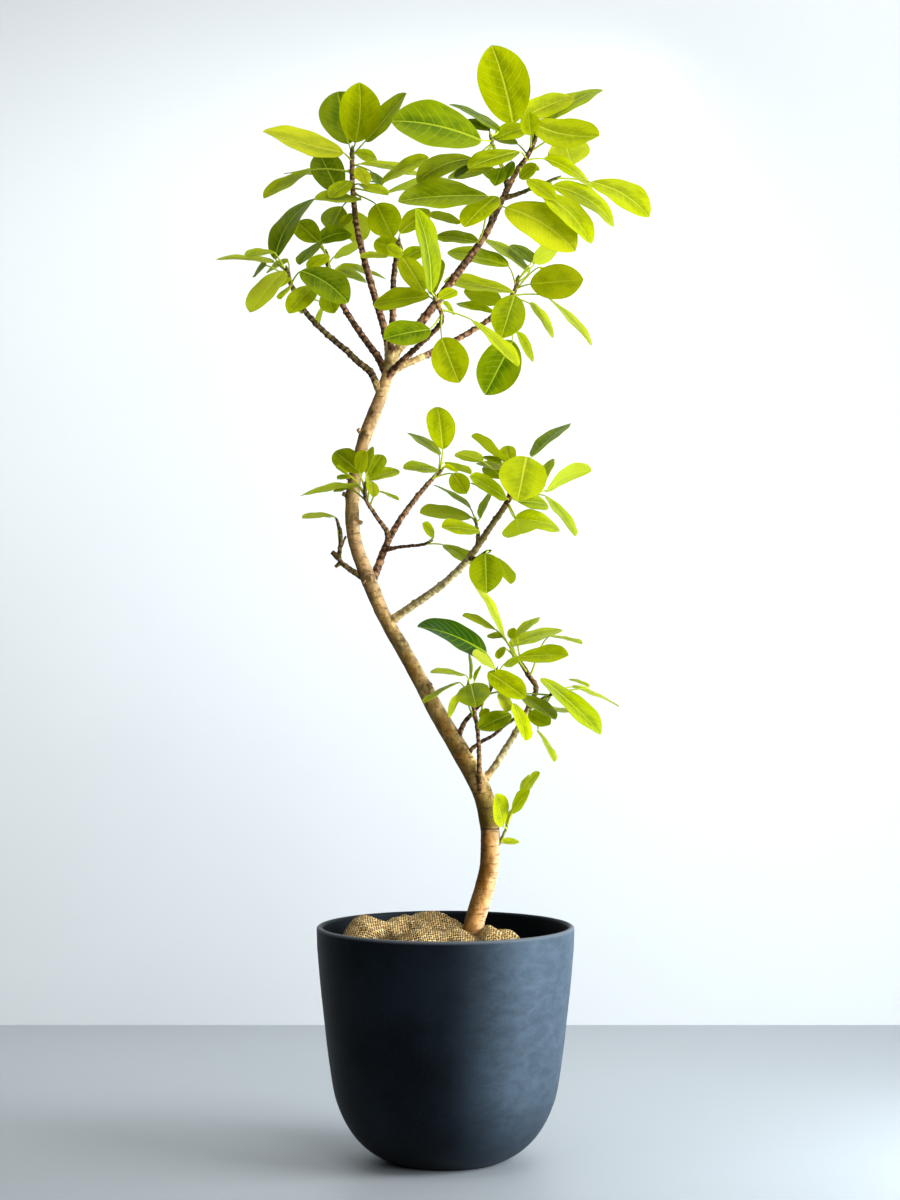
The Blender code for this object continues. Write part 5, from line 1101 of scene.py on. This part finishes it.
def grow_plan():
    """Routes of trunk, branches and twigs, and how the leaves lie, by the model's own rules."""
    trunk = Limb([Vector((*place(a, u, d), r * CM)) for a, u, d, r in TRUNK], TRUNK_STEP)
    limbs, ends, twigs, leaves = {"trunk": trunk}, {}, {}, {}
    for name, parent, route, foot_r, end_r, depth, _, leafy in BRANCHES:
        limbs[name] = limb_from(route, limbs[parent], foot_r, end_r, depth, BRANCH_STEP)
        ends[name] = limbs[name].length - leafy * CM
    for number, (name, parent, route, listed, *own) in enumerate(SHOOTS):
        if route is None:
            limb, start = limbs[parent], ends[parent] + GAP
            first = start + LEAFY_FOOT
        else:
            foot_r, end_r, depth, stub = own
            limb = limb_from(route, limbs[parent], foot_r, end_r, depth, TWIG_STEP)
            start = stub * CM + GAP
            first = start + (limb.length - start) * 0.55
        twigs[name] = (limb, start)
        leafy = limb.length - LEAFY_END - first
        corners = corners_of(name)
        leaves[name] = [
            leaf(spec, limb.at(first + leafy * k / max(1, len(listed) - 1))[0], corners,
                 1.7 * k + 0.9 * number) for k, spec in enumerate(listed)]
    return limbs, ends, twigs, leaves


def build_leaves(leaves):
    """The leaves of each shoot as one piece."""
    material = leaf_material()
    for number, (name, listed) in enumerate(leaves.items()):
        shapes = [fine_leaf(*drawn, LOOKS[name][k], (number * 17 + k * 3) % 97 + 0.5)
                  for k, drawn in enumerate(listed)]
        mesh_piece(name.replace("_shoot", "_leaves"), "leaf", name, *joined(shapes), material)


def build_wood(limbs, ends, twigs):
    """The bark of the trunk and of each branch and twig."""
    barks = {name: branch_material(name, *look) for name, look in BARKS.items()}
    build_trunk(limbs["trunk"])
    for number, (name, _, _, _, _, _, stub, _) in enumerate(BRANCHES):
        points, faces, marks = stem_skin(
            limbs[name], 0.0, ends[name], number + 3, BRANCH_FLARE, stub * CM * 0.5,
            (0.0, BRANCH_AGE), False, **BRANCH_SKIN)
        foot = np.zeros_like(marks)
        foot[:, 0] = TAN_FEET[name] - marks[:, 0] / BRANCH_AGE * ends[name] / CM
        mesh_piece(name + "_bark", "bark", name, points, faces,
                   {"bark_place": marks, "bark_foot": foot},
                   barks[BARK_OF.get(name, "branch_bark")])
    for number, (name, _, route, *_) in enumerate(SHOOTS):
        limb, start = twigs[name]
        own = route is not None
        nubs = [pruned_nub(limb, *spec) for spec in NUBS.get(name, [])]
        limb = extended(limb, BUD_EXTRA)
        points, faces, marks = stem_skin(
            limb, 0.0 if own else start - GAP, limb.length, number + 40,
            TWIG_FLARE if own else 0.0, start * 0.6, (0.0 if own else 0.3, 1.0), True, **TWIG_SKIN)
        points, faces, marks = joined([(points, faces, {"bark_place": marks})] + nubs)
        marks["bark_foot"] = np.full((len(points), 3), NO_TAN)
        mesh_piece(name.replace("_shoot", "_twig"), "bark", name, points, faces, marks,
                   barks[BARK_OF.get(name, "woody_twig_bark")])


def pruned_nub(limb, foot_across, foot_up, across, up, radius):
    """A short dead nub left where a twig was cut off a stem."""
    start = limb.nearest(foot_across, foot_up)
    ahead = place(across, up) - place(foot_across, foot_up)
    return stub_shape(np.array(start), np.array(start + ahead), radius * CM)


def build_trunk(limb):
    """The trunk's skin with its knots, faint rings and pruned stubs."""
    runs, centres, radii = sample(limb, 0.0, limb.length, TRUNK_FINE_STEP)
    turns, circle = circles(*frames_along(centres), TRUNK_AROUND)
    surface = centres[:, None] + circle * radii[:, None, None]
    lift, mask = np.zeros((2, *surface.shape[:2]))
    flaky = np.array([[noise.noise(Vector(p) * 210) for p in row] for row in surface])
    for across, up, depth, size, high in KNOTS:
        near = np.linalg.norm(surface - np.array(place(across, up, depth)), axis=2)
        near -= near.min()
        wide = size * CM
        lift += high * CM * (bell(near, wide) - 0.55 * bell(near, wide * 0.38))
        mask += bell(near, wide * 0.42) + 0.35 * bell(near - wide, wide * 0.22)
        patch = np.exp(-(near / (wide * 1.9)) ** 4) * np.clip(flaky * 2.2 + 0.75, 0.0, 1.0)
        mask += 0.48 * patch
        lift += 0.00045 * patch * flaky
    for run, turn in scars(11, 0.02, limb.length, 0.022, 0.016):
        band = bell(runs - run, 0.0014)[:, None] * (0.6 + 0.4 * np.cos(turns - turn))
        lift += 0.00016 * band
        mask += 0.05 * band
    for k, centre in enumerate(centres):
        for j, turn in enumerate(turns):
            lift[k, j] += radii[k] * 0.05 * bark_noise(centre, turn, 42, 0.9)
            lift[k, j] += 0.00035 * bark_noise(centre, turn, 130, 2.4)
    left = np.clip((limb.length - runs) / radii[-1], 0.0, 1.0)
    full = radii * np.sqrt(1.0 - (1.0 - left) ** 2 * 0.97)
    points = (centres[:, None] + circle * (full[:, None] + lift)[:, :, None]).reshape(-1, 3)
    marks = np.zeros((len(points), 3))
    marks[:, 1] = np.clip(mask, 0, 1).ravel()
    skin = (points, ring_faces(len(runs), TRUNK_AROUND), {"bark_place": marks})
    cuts = []
    for across, up, cut_across, cut_up, cut_depth, size in STUBS:
        start = limb.nearest(across, up)
        ahead = (place(cut_across, cut_up, cut_depth) - start).normalized() * STUB_LENGTH
        cuts.append(stub_shape(np.array(start), np.array(start + ahead), size * CM))
    mesh_piece("trunk_bark", "trunk", "trunk", *joined([skin] + cuts), trunk_material())


def stub_shape(start, end, radius):
    """A pruned stub: flared at the trunk, with a worn rim and a shallow dished cut."""
    shares, widths = np.array(STUB_RINGS).T
    line = start + (end - start) * shares[:, None]
    head = (end - start) / np.linalg.norm(end - start)
    side = np.cross(head, ASIDE)
    side /= np.linalg.norm(side)
    turns, circle = circles(side[None], np.cross(head, side)[None], STUB_ROUND)
    uneven = 1.0 + 0.06 * np.sin(3 * turns + start[0] * 900)
    points = line[:, None] + circle * (widths[:, None] * radius * uneven)[:, :, None]
    cut = np.repeat((shares > 0.9) & (widths < 0.9), STUB_ROUND)[:, None]
    return (points.reshape(-1, 3), ring_faces(len(shares), STUB_ROUND),
            {"bark_place": cut * (0.0, 0.2, 0.9)})


def turned(name, slot, profile, around, material, roughen=None):
    """A piece turned round the pot's axis from a profile of (radius, height)."""
    turns = np.arange(around) * (2 * math.pi / around)
    radii, heights = np.array(profile).T[:, :, None]
    points = np.stack([radii * np.cos(turns), radii * np.sin(turns), heights + turns * 0.0],
                      axis=-1).reshape(-1, 3)
    faces = ring_faces(len(profile), around)
    if roughen:
        roughen(points)
        faces = [tuple(reversed(face)) for face in faces]
    mesh_piece(name, slot, slot, points, faces, {}, material)


def build_pot():
    """The turned pot: a smooth profile with a soft lip, from the inner floor to the foot."""
    fine, _ = smooth_route([Vector((r, 0.0, z)) for r, z in POT_OUTSIDE[3:]], 0.02)
    outside = [(p.x, p.z) for p in fine]
    lip_half = POT_WALL * 0.5
    lip = []
    for k in range(LIP_STEPS + 1):
        turn = math.pi * k / LIP_STEPS
        lip.append((POT_OUTSIDE[2][0] - lip_half - lip_half * math.cos(turn),
                    LIP_FOOT + LIP_RISE * math.sin(turn) ** 0.8))
    inside = [(r - POT_WALL, z) for r, z in reversed(outside) if z > POT_FLOOR + 0.005]
    inner = inside[0][0]
    floor = [(AXIS_RADIUS, POT_FLOOR), (inner - 0.030, POT_FLOOR),
             (inner - 0.010, POT_FLOOR + 0.002)]
    foot = [(POT_OUTSIDE[-1][0] - 0.004, 0.0), (AXIS_RADIUS, 0.0)]
    turned("pot_shell", "pot", floor + inside + lip + outside + foot, POT_ROUND, pot_material())


def soil_height(radius):
    """Height of the mounded soil at a distance from the pot's axis."""
    share = min(1.0, radius / MOUND_REACH)
    return SOIL_HIGH + SOIL_MOUND * (1.0 - share * share) ** 2


def build_soil():
    """The soil's crumbly top and its side and foot down in the pot."""
    radii = [max(SOIL_EDGE * k / SOIL_RINGS, 0.0006) for k in range(SOIL_RINGS + 1)]
    profile = [(radius, soil_height(radius)) for radius in radii] + SOIL_SIDE

    def crumbs(points):
        for k in range((SOIL_RINGS - 1) * SOIL_ROUND):
            spot = Vector(points[k])
            crumb = 0.0022 * noise.noise(spot * 120) + 0.0016 * abs(noise.noise(spot * 330))
            points[k, 2] += crumb - 0.0006
    turned("soil_bed", "soil", profile, SOIL_ROUND, soil_material(), crumbs)


def ridge(spot):
    """Noise in long folds, 1 along their crests."""
    return 1.0 - 2.4 * abs(noise.noise(spot))


def cloth_top(x, y, share):
    """Height of the cloth: rounded puffs that meet in creases, let down to the soil at its edge."""
    ground = soil_height(math.hypot(x, y)) + CLOTH_LIFT
    high = 0.0
    for across, depth, long_half, wide_half, turn, top in PUFFS:
        c, s = math.cos(math.radians(turn)), math.sin(math.radians(turn))
        dx, dy = x / CM - across, y / CM - depth
        a, b = (dx * c + dy * s) / long_half, (-dx * s + dy * c) / wide_half
        away = (a * a + b * b) / 1.25
        if away < 1.0:
            high += ((top * CM - ground) * (1.0 - away) ** 0.85) ** 5
    spot = Vector((x, y, 0.0))
    slant = Vector((x * 0.60 + y * 0.80, (x * 0.80 - y * 0.60) * 0.45, 0.3))
    crease = 0.0042 * ridge(slant * 42 + Vector((0.35 * noise.noise(spot * 25), 2.0, 0.0)))
    crease += 0.0022 * ridge(spot * 85 + Vector((5, 2, 0))) + 0.0010 * noise.noise(spot * 160)
    return ground + (high ** 0.2 + max(crease, -0.003)) * (1.0 - share ** 6)


def around_each(heights):
    """The mean of the four neighbours of each inner point of a grid."""
    return (heights[:-2, 1:-1] + heights[2:, 1:-1] + heights[1:-1, :-2] + heights[1:-1, 2:]) / 4


def build_burlap(trunk):
    """One crumpled cloth with a slit for the trunk, marked with its flat measure and with its
    hollows for painted shade.
    """
    lines = CLOTH_LINES
    u, v = np.meshgrid(np.linspace(-1, 1, lines), np.linspace(-1, 1, lines), indexing="ij")
    points = []
    for a, b in zip(u.ravel(), v.ravel()):
        share = max(abs(a), abs(b))
        x = CLOTH_CENTRE[0] + CLOTH_HALF[0] * a * math.sqrt(1 - CORNERS_IN * b * b)
        y = CLOTH_CENTRE[1] + CLOTH_HALF[1] * b * math.sqrt(1 - CORNERS_IN * a * a)
        x += 0.004 * math.sin(5 * b + 1.0) * share
        y += 0.004 * math.sin(6 * a) * share
        points.append((x, y, cloth_top(x, y, share)))
    points = np.array(points)
    heights = points[:, 2].reshape(lines, lines)
    for _ in range(CLOTH_EVENED):
        heights[1:-1, 1:-1] += 0.35 * (around_each(heights) - heights[1:-1, 1:-1])
    level = heights.copy()
    for _ in range(HOLLOW_ROUNDS):
        level[1:-1, 1:-1] = around_each(level)
    # The third mark is how deep a point lies in a hollow, where the material paints shade
    marks = np.stack([u.ravel() * CLOTH_FLAT[0] * 0.5, v.ravel() * CLOTH_FLAT[1] * 0.5,
                      np.clip((level - heights).ravel() / HOLLOW_DEPTH, 0.0, 1.0)], axis=1)
    marks[:, :2] += (points[:, 2:] - 0.30) * (0.30, 0.18)
    open_at = np.zeros(len(points), dtype=bool)
    for centre, radius in (trunk.at(run) for run in np.linspace(0.05, 0.30, 40)):
        away = np.hypot(points[:, 0] - centre.x, points[:, 1] - centre.y)
        open_at |= (np.abs(points[:, 2] - centre.z) < 0.008) & (away < radius + SLIT_AIR)
    index = np.arange(lines * lines).reshape(lines, lines)
    faces = np.stack([index[:-1, :-1], index[1:, :-1], index[1:, 1:], index[:-1, 1:]], axis=-1)
    faces = [tuple(face) for face in faces.reshape(-1, 4) if not open_at[face].all()]
    piece = mesh_piece("burlap_cloth", "burlap", "burlap", points, faces, {"cloth_place": marks},
                       burlap_material())


def in_scene(name, data):
    """A new object that holds the data."""
    item = bpy.data.objects.new(name, data)
    bpy.context.scene.collection.objects.link(item)
    return item


def build_stage():
    """A plain pale floor and wall, and soft light from a window side on the right."""
    wide, high, flat = WALL_HALF, WALL_HIGH, FLOOR_HALF
    for name, corners, color, rough in (
            ("floor", [(-flat, -flat, 0), (flat, -flat, 0), (flat, flat, 0), (-flat, flat, 0)],
             FLOOR_COLOR, 0.50),
            ("wall", [(-wide, WALL_Y, 0), (wide, WALL_Y, 0), (wide, WALL_Y, high),
                      (-wide, WALL_Y, high)], WALL_COLOR, 0.9)):
        mesh = bpy.data.meshes.new(name)
        mesh.from_pydata(corners, [], [(0, 1, 2, 3)])
        mesh.materials.append(stage_material(name + "_plain", color, rough))
        in_scene(name, mesh)
    for name, spot, aim, size, power, color in LIGHTS:
        lamp = bpy.data.lights.new(name, "AREA")
        lamp.shape = "RECTANGLE"
        lamp.size, lamp.size_y = size
        lamp.energy = power
        lamp.color = color
        item = in_scene(name, lamp)
        item.location = spot
        item.rotation_euler = (Vector(aim) - Vector(spot)).to_track_quat("-Z", "Y").to_euler()
        item.visible_camera = False
    world = bpy.data.worlds.new("room")
    n = Nodes(world)
    sky = n.tree.nodes["Background"]
    n.put(sky.inputs["Color"], SKY_COLOR)
    n.put(sky.inputs["Strength"], SKY_POWER)
    n.blend(n.add("LightPath", out="Is Camera Ray"), sky.outputs[0],
            n.add("Background", {"Color": SURROUND}))
    bpy.context.scene.world = world


def build_camera():
    """The photo's view: level, and straight at the pot's front."""
    view = bpy.data.cameras.new("view")
    view.lens = LENS_MM
    view.sensor_width = SENSOR_MM
    view.sensor_fit = "AUTO"
    camera = in_scene("view", view)
    camera.location = EYE
    camera.rotation_euler = (math.pi / 2, 0.0, 0.0)
    scene = bpy.context.scene
    scene.camera = camera
    scene.view_settings.view_transform = "Standard"
    scene.view_settings.look = "None"


build_camera()
limbs, ends, twigs, leaves = grow_plan()
build_leaves(leaves)
build_wood(limbs, ends, twigs)
build_burlap(limbs["trunk"])
build_soil()
build_pot()
build_stage()
